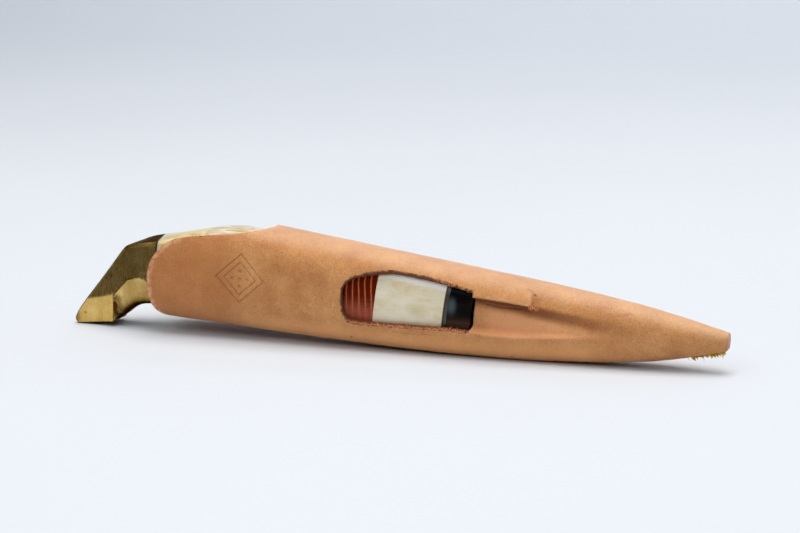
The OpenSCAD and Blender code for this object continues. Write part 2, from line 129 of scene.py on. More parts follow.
# ---------------------------------------------------------------- meshes
def make(name, points, faces, material, body, slot, replaces=(), extra=(), face_slots=None, masks=None):
    """A piece from points in mm: smooth, in place, riding on its body. extra holds its further materials,
    and masks are values per point that its materials read."""
    mesh = bpy.data.meshes.new(name)
    mesh.from_pydata([tuple(p) for p in seated(points)], [], faces)
    for m in (material, *extra):
        mesh.materials.append(m)
    if face_slots is not None:
        mesh.polygons.foreach_set("material_index", face_slots)
    for key, values in (masks or {}).items():
        mesh.attributes.new(key, "FLOAT", "POINT").data.foreach_set("value", np.asarray(values, np.float32))
    bm = bmesh.new()
    bm.from_mesh(mesh)
    bmesh.ops.recalc_face_normals(bm, faces=bm.faces)
    bm.to_mesh(mesh)
    bm.free()
    mesh.shade_smooth()
    mesh.update()
    piece = bpy.data.objects.new(name, mesh)
    bpy.context.scene.collection.objects.link(piece)
    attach(piece, body)
    if replaces:
        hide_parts(*replaces)
    return piece


def sharpen(piece, degrees):
    """Keeps the real edges of a piece crisp."""
    bm = bmesh.new()
    bm.from_mesh(piece.data)
    for edge in bm.edges:
        edge.smooth = len(edge.link_faces) != 2 or edge.calc_face_angle(0) < math.radians(degrees)
    bm.to_mesh(piece.data)
    bm.free()


def loft_faces(rings, count, closed=False, start=0):
    """Faces between rings of count points each, capped at the ends unless the rings close on themselves."""
    faces = []
    for k in range(rings if closed else rings - 1):
        a, b = start + k * count, start + (k + 1) % rings * count
        faces += [(a + i, a + (i + 1) % count, b + (i + 1) % count, b + i) for i in range(count)]
    if not closed:
        faces.append(tuple(start + i for i in range(count - 1, -1, -1)))
        faces.append(tuple(start + (rings - 1) * count + i for i in range(count)))
    return faces


def tube(path, radius, around=10, ply=0.0, twist=0.0):
    """A round or twisted cord along path. ply is how deep its plies show, twist its turns per mm."""
    path = np.asarray(path, float)
    along = np.gradient(path, axis=0)
    along /= np.linalg.norm(along, axis=1)[:, None]
    up = np.array([0.0, 0, 1]) if abs(along[0][2]) < 0.9 else np.array([1.0, 0, 0])
    run = np.concatenate([[0], np.cumsum(np.linalg.norm(np.diff(path, axis=0), axis=1))])
    radii = np.full(len(path), float(radius)) if np.isscalar(radius) else np.asarray(radius, float)
    points = []
    for k, (p, t) in enumerate(zip(path, along)):
        side = np.cross(t, up)
        side /= np.linalg.norm(side)
        up = np.cross(side, t)
        for i in range(around):
            a = 2 * math.pi * i / around
            r = radii[k] * (1 - ply * abs(math.sin(a + twist * run[k] * 2 * math.pi)))
            points.append(p + r * (math.cos(a) * side + math.sin(a) * up))
    return points, loft_faces(len(path), around)


def joined(parts):
    """The points and faces of several parts as one set."""
    points, faces = [], []
    for more, sides in parts:
        faces += [tuple(v + len(points) for v in f) for f in sides]
        points += list(more)
    return points, faces


def rough_noise(p, size, seed=0.0):
    """Smooth noise at a point, with lumps of that size in mm, from -1 to 1."""
    return noise.noise(Vector((p[0] / size + seed, p[1] / size - seed, p[2] / size + 2 * seed)))


def smooth_line(points, step=0.2):
    """A dense line through points, curved as a hand would cut it."""
    p = np.asarray(points, float)
    run = np.concatenate([[0], np.cumsum(np.linalg.norm(np.diff(p, axis=0), axis=1))])
    at = np.linspace(0, run[-1], max(2, int(run[-1] / step)))
    return np.stack([curve(list(zip(run, p[:, k])), at) for k in range(p.shape[1])], -1)


# ---------------------------------------------------------------- materials
def paint(code):
    """An sRGB hex colour as the linear one that a shader takes."""
    v = [int(code[i:i + 2], 16) / 255 for i in (1, 3, 5)]
    return (*[c / 12.92 if c <= 0.04045 else ((c + 0.055) / 1.055) ** 2.4 for c in v], 1)


def add(tree, kind, inputs=None, ramp=None, **settings):
    """Adds a node. settings are its own options, inputs are numbers, colours, nodes or a node's outputs, and
    ramp is a list of (place, colour)."""
    made = tree.nodes.new("ShaderNode" + kind)
    for name, value in settings.items():
        setattr(made, name, value)
    if ramp:
        stops = made.color_ramp.elements
        while len(stops) < len(ramp):
            stops.new(0.5)
        for stop, (place, colour) in zip(stops, ramp):
            stop.position, stop.color = place, paint(colour) if isinstance(colour, str) else (colour,) * 3 + (1,)
    for key, value in (inputs or {}).items():
        source = value.outputs[0] if isinstance(value, bpy.types.Node) else value
        if isinstance(source, bpy.types.NodeSocket):
            tree.links.new(source, made.inputs[key])
        else:
            made.inputs[key].default_value = source
    return made


class Finish:
    """A material as it is made: its node tree, its shader and the values that are the same all over it."""

    def __init__(self, name, **sockets):
        self.material = bpy.data.materials.new(name)
        self.material.use_nodes = True
        self.tree = self.material.node_tree
        self.shader = self.tree.nodes["Principled BSDF"]
        for key, value in sockets.items():
            socket = self.shader.inputs[key.replace("_", " ")]
            socket.default_value = paint(value) if isinstance(value, str) else value
        self.place = self.add("TexCoord").outputs["Object"]

    def add(self, kind, inputs=None, **settings):
        return add(self.tree, kind, inputs, **settings)

    def link(self, node, socket):
        self.tree.links.new(node.outputs[0] if isinstance(node, bpy.types.Node) else node, self.shader.inputs[socket])

    def mm(self, x=1.0, y=1.0, z=1.0):
        """Coordinates in mm, drawn out along an axis by a share."""
        return self.add("Mapping", {0: self.place, 3: (1000 / x, 1000 / y, 1000 / z)}).outputs[0]

    def grain(self, per_mm, detail, roughness=0.5, **drawn_out):
        """Noise with so many lumps to a mm."""
        return self.add("TexNoise", {"Vector": self.mm(**drawn_out), "Scale": per_mm, "Detail": detail,
                                     "Roughness": roughness})

    def tones(self, pattern, *stops):
        """Colours along a pattern, each as (place, colour)."""
        return self.add("ValToRGB", {0: pattern}, ramp=stops).outputs[0]

    def mix(self, share, below, above, blend="MIX"):
        return self.add("Mix", {0: share, 6: below, 7: above}, data_type="RGBA", blend_type=blend).outputs[2]

    def times(self, share, amount):
        return self.add("Math", {0: share, 1: amount}, operation="MULTIPLY")

    def mask(self, name):
        return self.add("Attribute", attribute_name=name).outputs["Fac"]

    def marked(self, tone, *marks):
        """The tone with marks over it where the piece's own masks say so, each as (mask, colour, amount)."""
        for name, shade, amount in marks:
            share = self.mask(name)
            tone = self.mix(share if amount == 1 else self.times(share, amount), tone, paint(shade))
        return tone

    def shine(self, pattern, least, most):
        """A roughness that follows a pattern."""
        self.link(self.add("MapRange", {0: pattern, 3: least, 4: most}), "Roughness")

    def end(self, tone, relief=None, strength=0.0, depth=0.0):
        self.link(tone, "Base Color")
        if relief:
            self.link(self.add("Bump", {"Height": relief, "Strength": strength, "Distance": depth}), "Normal")
        return self.material


def tanned_leather(name, light, middle, dark, gloss):
    """Vegetable-tanned cowhide, wet-moulded and left undyed, with a soft sheen: clouds of tan 9 mm wide, fine
    wrinkles 0.45 mm apart that are drawn out round the sheath, and a speckle of 0.3 mm."""
    hide = Finish(name, Roughness=gloss, IOR=1.46, Specular_IOR_Level=0.36, Sheen_Weight=0.12, Sheen_Roughness=0.5)
    clouds = hide.grain(0.11, 5.0, 0.62)
    wrinkles = hide.grain(2.2, 5.0, 0.72, y=2.2, z=2.2)
    speckle = hide.grain(3.2, 3.0, 0.65)
    tone = hide.tones(clouds, (0.28, dark), (0.5, middle), (0.74, light))
    tone = hide.mix(0.8, tone, hide.tones(wrinkles, (0.34, 0.78), (0.5, 0.95), (0.62, 1.0)), "MULTIPLY")
    tone = hide.mix(0.5, tone, hide.tones(speckle, (0.38, 0.6), (0.5, 1.0)), "MULTIPLY")
    return hide, tone, speckle


# The sheath's grain side, with its own masks: wear and a painted highlight along the top pale it, pressing rouges
# it, tooling darkens it, painted light and shade lie over it. Dark spots lie 13 mm apart, pores 0.35 mm, creases 0.6
# mm.
hide, tone, speckle = tanned_leather("vegetable_tanned_leather", "#e2a266", "#d08f53", "#be7943", 0.5)
# Painted shade darkens the mouth end, the toe's end, the dent's slope, the slit and the creases; painted light pales
# the underside and the dent's floor
tone = hide.marked(tone, ("handled_and_shaded", "#b4692f", 0.55), ("reddened", "#b5603a", 0.6), ("belly", "#f0ab6c", 0.6),
                   ("worn", "#e6c9ab", 0.46), ("dent_painted_shade", "#7a360a", 0.88), ("dent_painted_light", "#f6b07c", 0.72),
                   ("burnished_and_crease_shade", "#7a4526", 0.75), ("raw", "#e6b286", 0.9))
tone = hide.mix(0.32, tone, speckle, "OVERLAY")
spots = hide.add("TexVoronoi", {"Vector": hide.mm(), "Scale": 0.075, "Randomness": 1.0})
tone = hide.mix(hide.tones(spots, (0.035, 1.0), (0.06, 0.0)), tone, paint("#7d4a2a"))
pores = hide.add("TexVoronoi", {"Vector": hide.mm(), "Scale": 2.8, "Randomness": 1.0})
creases = hide.grain(1.6, 5.0, 0.7, y=3.0, z=3.0)
relief = hide.add("Math", {0: pores.outputs["Distance"], 1: 0.35, 2: creases}, operation="MULTIPLY_ADD")
sheath_skin = hide.end(tone, relief, 0.7, 0.0003)

# The belt strap: the same hide, darker with oil
oiled, tone, speckle = tanned_leather("oiled_strap_leather", "#a46c3f", "#8d5a33", "#724526", 0.45)
strap_skin = oiled.end(tone, speckle, 0.3, 0.0002)

# The knife-cut edge: the fibres of the hide, raw and matt, dark brown through its thickness and paler where the raw
# mask lies
raw_edge = Finish("cut_edge_of_leather", Roughness=0.85)
loose = raw_edge.grain(2.4, 6.0, 0.75, y=2.5)
tone = raw_edge.tones(loose, (0.3, "#38190a"), (0.5, "#6c3819"), (0.72, "#ad6d3e"))
cut_edge = raw_edge.end(raw_edge.marked(tone, ("raw", "#cb8f60", 1)), loose, 0.8, 0.0004)


def two_tone(name, dark, light, per_mm, detail, roughness=0.5, ends=(0.35, 0.65), bump=(), across=1.0, **sockets):
    """A plain stuff of two shades, with so many flecks to a mm."""
    stuff = Finish(name, **sockets)
    fleck = stuff.grain(per_mm, detail, roughness, y=across)
    tone = stuff.tones(fleck, (ends[0], dark), (ends[1], light))
    return stuff.end(tone, fleck, *bump) if bump else stuff.end(tone)


# The flesh side, turned in: short nap, no sheen
flesh_side = two_tone("flesh_side_of_leather", "#8d6344", "#b98e69", 3.0, 4.0, 0.8, (0.3, 0.7), (0.6, 0.0003),
                      Roughness=0.95)
# Loose fibres where the hide tore: pale, dry and matt
torn_fibre = two_tone("torn_hide_fibre", "#b26a3c", "#dc9a66", 0.9, 3.0, Roughness=0.9)
# Waxed thread and lace: bundles of fibre 0.12 and 0.2 mm wide, and a dull shine from the wax
linen_thread = two_tone("waxed_linen_thread", "#b98d08", "#f0cc10", 1 / 0.12, 4.0, bump=(0.5, 0.0001), Roughness=0.6)
waxed_lace = two_tone("waxed_dark_lace", "#2a130d", "#5a2c1e", 1 / 0.2, 4.0, bump=(0.5, 0.0001), Roughness=0.42)
# Vulcanised fibre: pressed cotton sheet, sanded flush, matt and with a fleck of 0.3 mm
black_fibre = two_tone("black_vulcanised_fibre", "#12100f", "#26221e", 3.5, 3.0, Roughness=0.6)
grey_fibre = two_tone("grey_vulcanised_fibre", "#332f2b", "#4a453f", 3.5, 3.0, Roughness=0.6)
# Nickel silver sheet, ground flush with the handle: a grey line with a dull shine
# Its colour is darkened well below bare nickel silver: a painted dark reflection
nickel_silver = two_tone("ground_nickel_silver", "#45423d", "#625f58", 4.0, 5.0, ends=(0.3, 0.7), across=6.0,
                         Metallic=1.0, Roughness=0.38)

# Cast brass, filed, rubbed with fine paper and then worn: scratches across it, 0.45 mm apart, painted shade and
# painted reflection at the notch, the foot, the tip and along the top, and grime in a pit and a nick
cast = Finish("worn_cast_brass", Metallic=1.0, Specular_Tint="#8a6a30")
scratch = cast.grain(2.2, 7.0, 0.75, y=9.0, z=9.0)
tone = cast.tones(cast.grain(0.22, 4.0, 0.6), (0.3, "#c39b50"), (0.5, "#d6b066"), (0.7, "#e4c37c"))
tone = cast.mix(0.16, tone, cast.tones(scratch, (0.35, 0.72), (0.55, 1.0)), "MULTIPLY")
tone = cast.marked(tone, ("grime_and_shade", "#3a2412", 1), ("roof_painted_shade", "#665020", 1))
cast.shine(scratch, 0.23, 0.31)
brass = cast.end(tone, scratch, 0.035, 0.0001)

# Polished black horn: near black and glossy, with brown layers 2 mm apart where light enters it
glossy = Finish("glossy_black_horn", Roughness=0.12, IOR=1.54, Specular_IOR_Level=0.03)
tone = glossy.tones(glossy.grain(0.5, 4.0, x=4.0, y=1.5), (0.42, "#0a0a0b"), (0.6, "#15110f"), (0.75, "#3a2417"))
# Painted: a brown reflection of the leather's lip along its foot, and a bluish highlight
horn = glossy.end(glossy.marked(tone, ("low", "#4a3126", 1), ("painted_bluish_highlight", "#535e64", 1)))


def bone(name, light, middle, dark, streak, streak_share, drawn=9.0):
    """Boiled bone or antler, buffed to a gloss: a close, waxy, creamy solid with lengthwise fibre lines, 0.9 mm
    apart, and yellow clouds 6 mm wide where the marrow's fat stayed; its masks add a yellow spot and a painted
    highlight."""
    solid = Finish(name, Roughness=0.28, IOR=1.54, Subsurface_Weight=0.18, Subsurface_Radius=(1.0, 0.7, 0.4),
                   Subsurface_Scale=0.0012, Coat_Weight=0.5, Coat_Roughness=0.08)
    fibres = solid.grain(1.1, 6.0, 0.6, x=drawn)
    tone = solid.tones(solid.grain(0.16, 4.0, x=1.6), (0.34, dark), (0.52, middle), (0.68, light))
    tone = solid.mix(0.16, tone, solid.grain(0.9, 5.0), "OVERLAY")
    lines = solid.tones(fibres, (0.46, 0.0), (0.6, 1.0))
    tone = solid.mix(solid.times(lines, streak_share), tone, paint(streak))
    tone = solid.marked(tone, ("yellowed", "#c4ae5c", 0.5), ("painted_top_highlight", "#fdfaf2", 0.85))
    return solid.end(tone, fibres, 0.06, 0.0001)


front_bone = bone("boiled_bone", "#ebe3c9", "#e4d9b9", "#dac79a", "#f0e8d2", 0.4, 3.5)
streaked_bone = bone("streaked_reindeer_antler", "#d6c9a9", "#c9b68c", "#b69a62", "#f4eedf", 0.75)
yellow_bone = bone("yellowed_bone", "#e6daae", "#d8c58c", "#bd9f5e", "#eee3bc", 0.4)

# Curly birch dyed red and oiled: the curl crosses the grain every 2 mm, light and dark as it takes the light
curly = Finish("dyed_curly_birch", Roughness=0.3, IOR=1.5, Specular_IOR_Level=0.04)
curl = curly.add("TexWave", {"Vector": curly.mm(), "Scale": 0.155, "Distortion": 2.2, "Detail": 3.0,
                             "Detail Scale": 0.6}, wave_type="BANDS", bands_direction="X", wave_profile="SIN")
curled = curly.tones(curl, (0.15, "#5c1503"), (0.75, "#661a05"), (0.92, "#9c441f"), (0.99, "#bd6c38"))
# Split by height as painted light: the curl's light bands show on the upper part, and the lower part has a plain
# lighter tone, a painted sheen
tone = curly.mix(curly.mask("high"), curly.tones(curl, (0.2, "#a04f3a"), (0.9, "#aa5a44")), curled)
pores = curly.grain(2.5, 5.0, x=8.0)
red_birch = curly.end(curly.mix(0.6, tone, curly.tones(pores, (0.35, 0.7), (0.55, 1.0)), "MULTIPLY"))

# Carbon steel, ground across on a fine wheel: streaks from edge to back, and a soft grey shine
ground = Finish("ground_carbon_steel", Metallic=1.0)
grind = ground.grain(2.5, 6.0, x=0.5, y=12.0, z=12.0)
ground.shine(grind, 0.16, 0.3)
steel = ground.end(ground.tones(grind, (0.3, "#7d7f82"), (0.7, "#b4b6b8")), grind, 0.08, 0.0001)

# The liner: birch split and whittled, its growth rings 1.4 mm apart
whittled = Finish("whittled_birch", Roughness=0.7)
rings = whittled.add("TexWave", {"Vector": whittled.mm(x=14.0), "Scale": 0.22, "Distortion": 3.0, "Detail": 3.0},
                     bands_direction="Z")
hair = whittled.grain(2.5, 5.0, x=14.0)
tone = whittled.mix(0.35, whittled.tones(rings, (0.2, "#d6b98a"), (0.8, "#c09a66")), hair, "OVERLAY")
liner_wood = whittled.end(tone, hair, 0.3, 0.0002)

# ---------------------------------------------------------------- the sheath's leather
# The leather is laid out flat as its pattern: x along the sheath, and round = how far round the section a
# point lies, in hundredths of the way, 0 at the belly, 25 on the near side, 50 on the back. Everything is cut
# and tooled on the pattern, and then wrapped. FLAT_FROM and FLAT_TO are its long sides, which meet on the far
# face, and the tables give the turn for each x and round.
FLAT_FROM, FLAT_TO = -38.0, 62.0
TABLE_STEP, TURN_STEPS = 0.5, 400
TABLE_X = np.arange(-108.0, AT_TOE + 0.51, TABLE_STEP)
TABLE_ROUND = np.linspace(0, 50, TURN_STEPS + 1)


def turn_table():
    """For each x, the turn at which a share of the half section's length is reached."""
    turns = np.linspace(0, math.pi, 3 * TURN_STEPS + 1)
    rows = []
    for x in TABLE_X:
        y, z = section(np.full_like(turns, x), turns, WRAP)
        run = np.concatenate([[0], np.cumsum(np.hypot(np.diff(y), np.diff(z)))])
        rows.append(np.interp(TABLE_ROUND, run / run[-1] * 50, turns))
    return np.array(rows)


TURNS = turn_table()


def row_of(x):
    """The number of the table's row for an x."""
    return np.clip(np.round((np.asarray(x, float) - TABLE_X[0]) / TABLE_STEP).astype(int), 0, len(TABLE_X) - 1)


def turn_at(x, around):
    """The turn for a place on the pattern."""
    around = np.mod(around, 100)
    half = np.where(around <= 50, around, 100 - around)
    fx = np.clip((x - TABLE_X[0]) / TABLE_STEP, 0, len(TABLE_X) - 1.001)
    fr = np.clip(half / 50 * TURN_STEPS, 0, TURN_STEPS - 0.001)
    i, j = fx.astype(int), fr.astype(int)
    u, v = fx - i, fr - j
    turn = ((TURNS[i, j] * (1 - v) + TURNS[i, j + 1] * v) * (1 - u)
            + (TURNS[i + 1, j] * (1 - v) + TURNS[i + 1, j + 1] * v) * u)
    return np.where(around <= 50, turn, 2 * math.pi - turn)


def round_at(x, z):
    """Where a point of the near face, given by x and z, lies on the pattern."""
    power, low, high, _ = form_at(x, WRAP)
    r = float(np.clip((low + high - 2 * z) / (high - low), -1, 1))
    turn = math.acos(float(np.clip(signed(r, power / 2), -1, 1)))
    return float(np.interp(turn, TURNS[row_of(x)], TABLE_ROUND))


def rest_height(x):
    """The ground's height at an x, in the leaning axes of the drawing."""
    return REST_HEIGHT + math.tan(REST_ANGLE) * (x - REST_X)


def flat_band(x, at, reach, fade):
    """1 where x is between at and reach, easing to 0 over fade on both sides."""
    return ease((x - at) / fade + 0.5) * ease((reach - x) / fade + 0.5)


# The knife's cut under the flap that stands out beside the blade
SLIT = [(0.6, 18.55), (6, 18.45), (12, 18.15), (18.8, 17.7)]


def hollow(x, z):
    """How far the wet leather was pressed in beside the blade, as a share: sharp under the raised flap, soft
    beyond it."""
    sharp = ease((straight(SLIT, x) - z) / 0.5)
    soft = ease((curve(BACK, x) - 3 - z) / 3.2)
    upper = soft + (sharp - soft) * ease((19.6 - x) / 1.6)
    lower = ease((z - curve(BELLY, x) - 5.9 - 0.6 * (1 - ease(x / 6))) / 1.5)
    return upper * lower * ease((x - DENT_START) / 1.9) * (1 - ease((x - 12) / (DENT_LENGTH - 12)))


def near_line(x, z, line, width):
    """How close a point is to a tooled or creased line, from 1 on it to 0 at its width."""
    best = np.full(np.shape(x), 9.0)
    p = np.asarray(line, float)
    for a, b in zip(p[:-1], p[1:]):
        d = b - a
        t = np.clip(((x - a[0]) * d[0] + (z - a[1]) * d[1]) / (d @ d), 0, 1)
        best = np.minimum(best, np.hypot(x - a[0] - t * d[0], z - a[1] - t * d[1]))
    return ease(1 - best / width)


def spot(x, z, at, size, solid=1.2):
    """1 in the middle of an oval spot, easing to 0 at its edge."""
    return ease(solid - np.hypot((x - at[0]) / size[0], (z - at[1]) / size[1]))


# Creases as (line, depth, width); the first three are darkened with painted shade
CREASES = [([(4.6, 16.5), (9, 16.1), (15.2, 16.4)], 0.3, 0.45),
           ([(16.7, 22.4), (18.2, 21.9), (19.2, 20.9)], 0.3, 0.5),
           ([(-23.3, 5.2), (-17.5, 5.2), (-11.5, 5.6)], 0.12, 0.4),
           ([(19.2, 20.9), (19.6, 19.4), (19.0, 17.6)], 0.5, 0.7)]

# The flap's pale lower edge and its bevelled end, and the marks rubbed into the leather, as (place, size)
TAB_EDGE = [(5, 18.95), (9, 19.0), (13, 18.8), (17.4, 18.4)]
TAB_END = [(17.3, 20.9), (18.1, 20.0), (17.9, 18.5)]
RUBBED = [((40.6, 20.2), (4.6, 1.0)), ((36.5, 14.2), (4.2, 1.5)), ((46.5, 18.6), (3.0, 0.8))]

# The place of a stamped sign: a plain nested lozenge with dots, blind-tooled
SIGN, TOOLING_DEPTH = (-74.0, 15.2), 0.3
SIGN_LINES = [[(SIGN[0] + a * reach, SIGN[1] + b * rise) for a, b in ((-1, 0), (0, 1), (1, 0), (0, -1), (-1, 0))]
              for reach, rise in ((8.0, 7.6), (5.4, 5.1))]
SIGN_DOTS = [(SIGN[0] + 2.6 * math.cos(math.radians(a)), SIGN[1] + 2.4 * math.sin(math.radians(a)))
             for a in range(0, 360, 90)] + [SIGN]


def tooled(x, z):
    """The depth of the blind tooling, as a share."""
    depth = np.zeros(np.shape(x))
    for corners in SIGN_LINES:
        depth = np.maximum(depth, near_line(x, z, corners, 0.42))
    for dot in SIGN_DOTS:
        depth = np.maximum(depth, ease(1.25 - np.hypot(x - dot[0], z - dot[1]) / 0.62))
    return depth


def seam_round(x):
    """Where the seam runs on the pattern: down the middle of the far face, under the toe at the end."""
    turn = np.radians(90) + np.radians(-90 * ease((x - 4) / (BLADE_LENGTH - 10)))
    return -np.array([np.interp(t, TURNS[row], TABLE_ROUND) for t, row in zip(turn, row_of(x))])


SEAM_TABLE = seam_round(TABLE_X)


def seam_depth(x, around):
    """The groove that the stitches lie in, and the soft welts on both sides of it."""
    girth = 2 * (curve(BACK, x) - curve(BELLY, x) + 2 * curve(HALF, x) + 4 * WRAP) * 0.82
    off = np.abs(np.mod(around - np.interp(x, TABLE_X, SEAM_TABLE) + 50, 100) - 50) / 100 * girth
    ends = ease((x - SEAM_START + 5) / 2) * ease((SEAM_END + 5 - x) / 2)
    return ends * (GROOVE_DEPTH * (1 - ease((off - 0.62) / 0.75)) - 0.22 * ease(1 - np.abs(off - 1.7) / 0.9))


def wrapped(flat, depth):
    """Points of the pattern, wrapped: depth is 0 on the grain side and LEATHER on the flesh side."""
    x, around = flat[:, 0], flat[:, 1]
    depth = np.broadcast_to(np.asarray(depth, float), x.shape)
    grow = WRAP - depth
    turn = turn_at(x, around)
    y, z = section(x, turn, grow)
    near = y < 0
    room = np.maximum(0, curve(HALF, np.maximum(x, 2)) + FIT - LINER_WIDTH / 2 - DENT_GAP)
    pressed = room * hollow(x, z) * np.minimum(1, np.abs(y) / 3)
    pressed = pressed * np.where(near, 1, 0.5 * ease((x - LINER_START) / 12))
    # The flap stands out, and the creases and the tooling sink in
    relief = (-0.5 * ease((x - 1.5) / 5) * ease((18.9 - x) / 0.9 + 0.5)
              * ease((z - straight(SLIT, x) + 0.1) / 0.5) * ease((22.6 - z) / 3.6))
    for line, sink, width in CREASES:
        relief = relief + sink * near_line(x, z, line, width)
    relief = np.where(near, relief + TOOLING_DEPTH * tooled(x, z), 0)
    grain = 1 - depth / LEATHER
    face = np.clip(np.abs(np.sin(turn)), 0, 1) ** 0.5
    y = y + np.where(near, 1, -1) * (pressed + grain * face * relief)
    ground = rest_height(x)
    z = np.maximum(z, ground + grow - WRAP)
    points = np.stack([x, y, z], -1)
    _, bottom, top, _ = form_at(x)
    inward = np.stack([x, 0 * x, (bottom + top) / 2], -1) - points
    inward[:, 0] = 0
    inward /= np.linalg.norm(inward, axis=1)[:, None] + 1e-9
    uneven = np.array([rough_noise(p, 11, 3.1) * 0.1 + rough_noise(p, 4.5, 7.7) * 0.05 for p in points])
    uneven = uneven * ease((z - ground) / 0.8)
    return points + inward * (grain * (seam_depth(x, around) + uneven))[:, None]


# The cut edges on the near face as (x, z): the mouth with its tongue, from the back to the belly, and the window
TONGUE = [(-68.2, 30.6), (-69.4, 30.35), (-71.5, 29.9), (-78.6, 28.4), (-84, 27.7), (-91.2, 26.5), (-96.8, 25.1),
          (-100.7, 22.9), (-103.4, 19.9), (-105.2, 16.4), (-106.0, 12.4), (-106.0, 8.5), (-105.4, 4), (-104.3, 0.8),
          (-102.5, -1.2), (-100.6, -2.05), (-99.6, -2.1)]
WINDOW = [(-40.2, 12.2), (-40.35, 16.3), (-38.6, 19.3), (-34.7, 21.35), (-28, 23.05), (-24.6, 23.5), (-18.4, 23.25),
          (-11.1, 22.5), (-7.1, 21.95), (-0.2, 20.7), (0.5, 20.2), (0.62, 19.3), (0.55, 14), (0.45, 8.6), (0.3, 7.75),
          (-0.5, 7.5), (-7.7, 7.45), (-18, 6.75), (-29.7, 6.1), (-35.2, 5.85), (-38.3, 6.5), (-39.6, 8.6),
          (-40.2, 12.2)]


def mouth_line():
    """The mouth's cut edge on the pattern, as x over round from 0 to 100."""
    def laid(line):
        return [(x, round_at(x, z)) for x, z in smooth_line(line)]

    near = [(x, r) for x, r in laid(TONGUE)[::-1] if 0.15 < r < 49.85]
    far = laid([(-104.6, 3.2), (-103.2, 5.2), (-100, 7.6), (-90, 14.6), (-80, 21.8), (-72, 27.6), (-69.2, 29.9)])
    low = laid([(-105.0, 1.5), (-104.1, 0.2), (-102.2, -1.4)])
    every = [(TONGUE[-1][0], 0)] + near + [(TONGUE[0][0], 50)]
    every += [(x, 100 - r) for x, r in far[::-1] + low] + [(TONGUE[-1][0], 100)]
    return np.array(sorted(every, key=lambda p: p[1]))


def nearest(points, line):
    """For pattern points: the nearest place on a cut line, and the line's way there."""
    span = line[1:] - line[:-1]
    flow = np.concatenate([span, span[-1:]])
    flow = flow / (np.linalg.norm(flow, axis=1)[:, None] + 1e-9)
    best = ((points[:, None, :] - line[None]) ** 2).sum(-1).argmin(1)
    return line[best], flow[best]


def within(points, polygon):
    """Whether each point lies inside a closed polygon."""
    a, b = polygon[:-1], polygon[1:]
    x, y = points[:, 0:1], points[:, 1:2]
    crosses = (a[:, 1] > y) != (b[:, 1] > y)
    at = a[:, 0] + (y - a[:, 1]) * (b[:, 0] - a[:, 0]) / np.where(b[:, 1] == a[:, 1], 1e-9, b[:, 1] - a[:, 1])
    return (crosses & (x < at)).sum(1) % 2 == 1


def sheath_pattern():
    """The flat pattern as a fine net, finer where it is tooled, pressed or sewn."""
    columns = np.concatenate([np.arange(-107, DENT_START, 0.62), np.arange(DENT_START, 47, 0.5),
                              np.arange(47, 69.4, 0.8), [HOLLOW_END], np.arange(70.4, AT_TOE - 0.6, 0.9),
                              [AT_TOE - 0.45]])
    rows = 180
    pitch = (FLAT_TO - FLAT_FROM) / rows
    bm = bmesh.new()
    net = [[bm.verts.new((x, FLAT_FROM + pitch * j, 0)) for j in range(rows + 1)] for x in columns]
    faces = [[bm.faces.new((net[i][j], net[i + 1][j], net[i + 1][j + 1], net[i][j + 1])) for j in range(rows)]
             for i in range(len(columns) - 1)]

    def refine(wanted):
        chosen = [f for f in bm.faces if wanted(f.calc_center_median())]
        edges = {e for f in chosen for e in f.edges}
        bmesh.ops.subdivide_edges(bm, edges=list(edges), cuts=1, use_grid_fill=True)

    sign = (SIGN[0], round_at(*SIGN))
    for reach in (9.6, 9.0):
        refine(lambda c: abs(c.x - sign[0]) < reach and abs(c.y - sign[1]) < reach)
    flap = (round_at(10, 16.2), round_at(10, 21.8))
    refine(lambda c: 0 < c.x < 21 and flap[0] - 1 < c.y < flap[1] + 1)
    refine(lambda c: SEAM_START - 5 < c.x < SEAM_END + 3
           and abs(c.y - float(np.interp(c.x, TABLE_X, SEAM_TABLE))) < 2.6 + 2.5 * ease((c.x - 30) / 40))
    flat = np.array([v.co[:2] for v in bm.verts])
    bm.verts.index_update()
    faces = [[v.index for v in f.verts] for f in bm.faces]
    bm.free()
    # The pattern's two long sides are one line on the sheath
    first = {round(x, 3): i for i, (x, r) in enumerate(flat) if abs(r - FLAT_FROM) < 1e-4}
    same = {i: first[round(x, 3)] for i, (x, r) in enumerate(flat) if abs(r - FLAT_TO) < 1e-4}
    return flat, faces, same


ROUND_OFF = 0.42
TOE_HEIGHT = 13.2


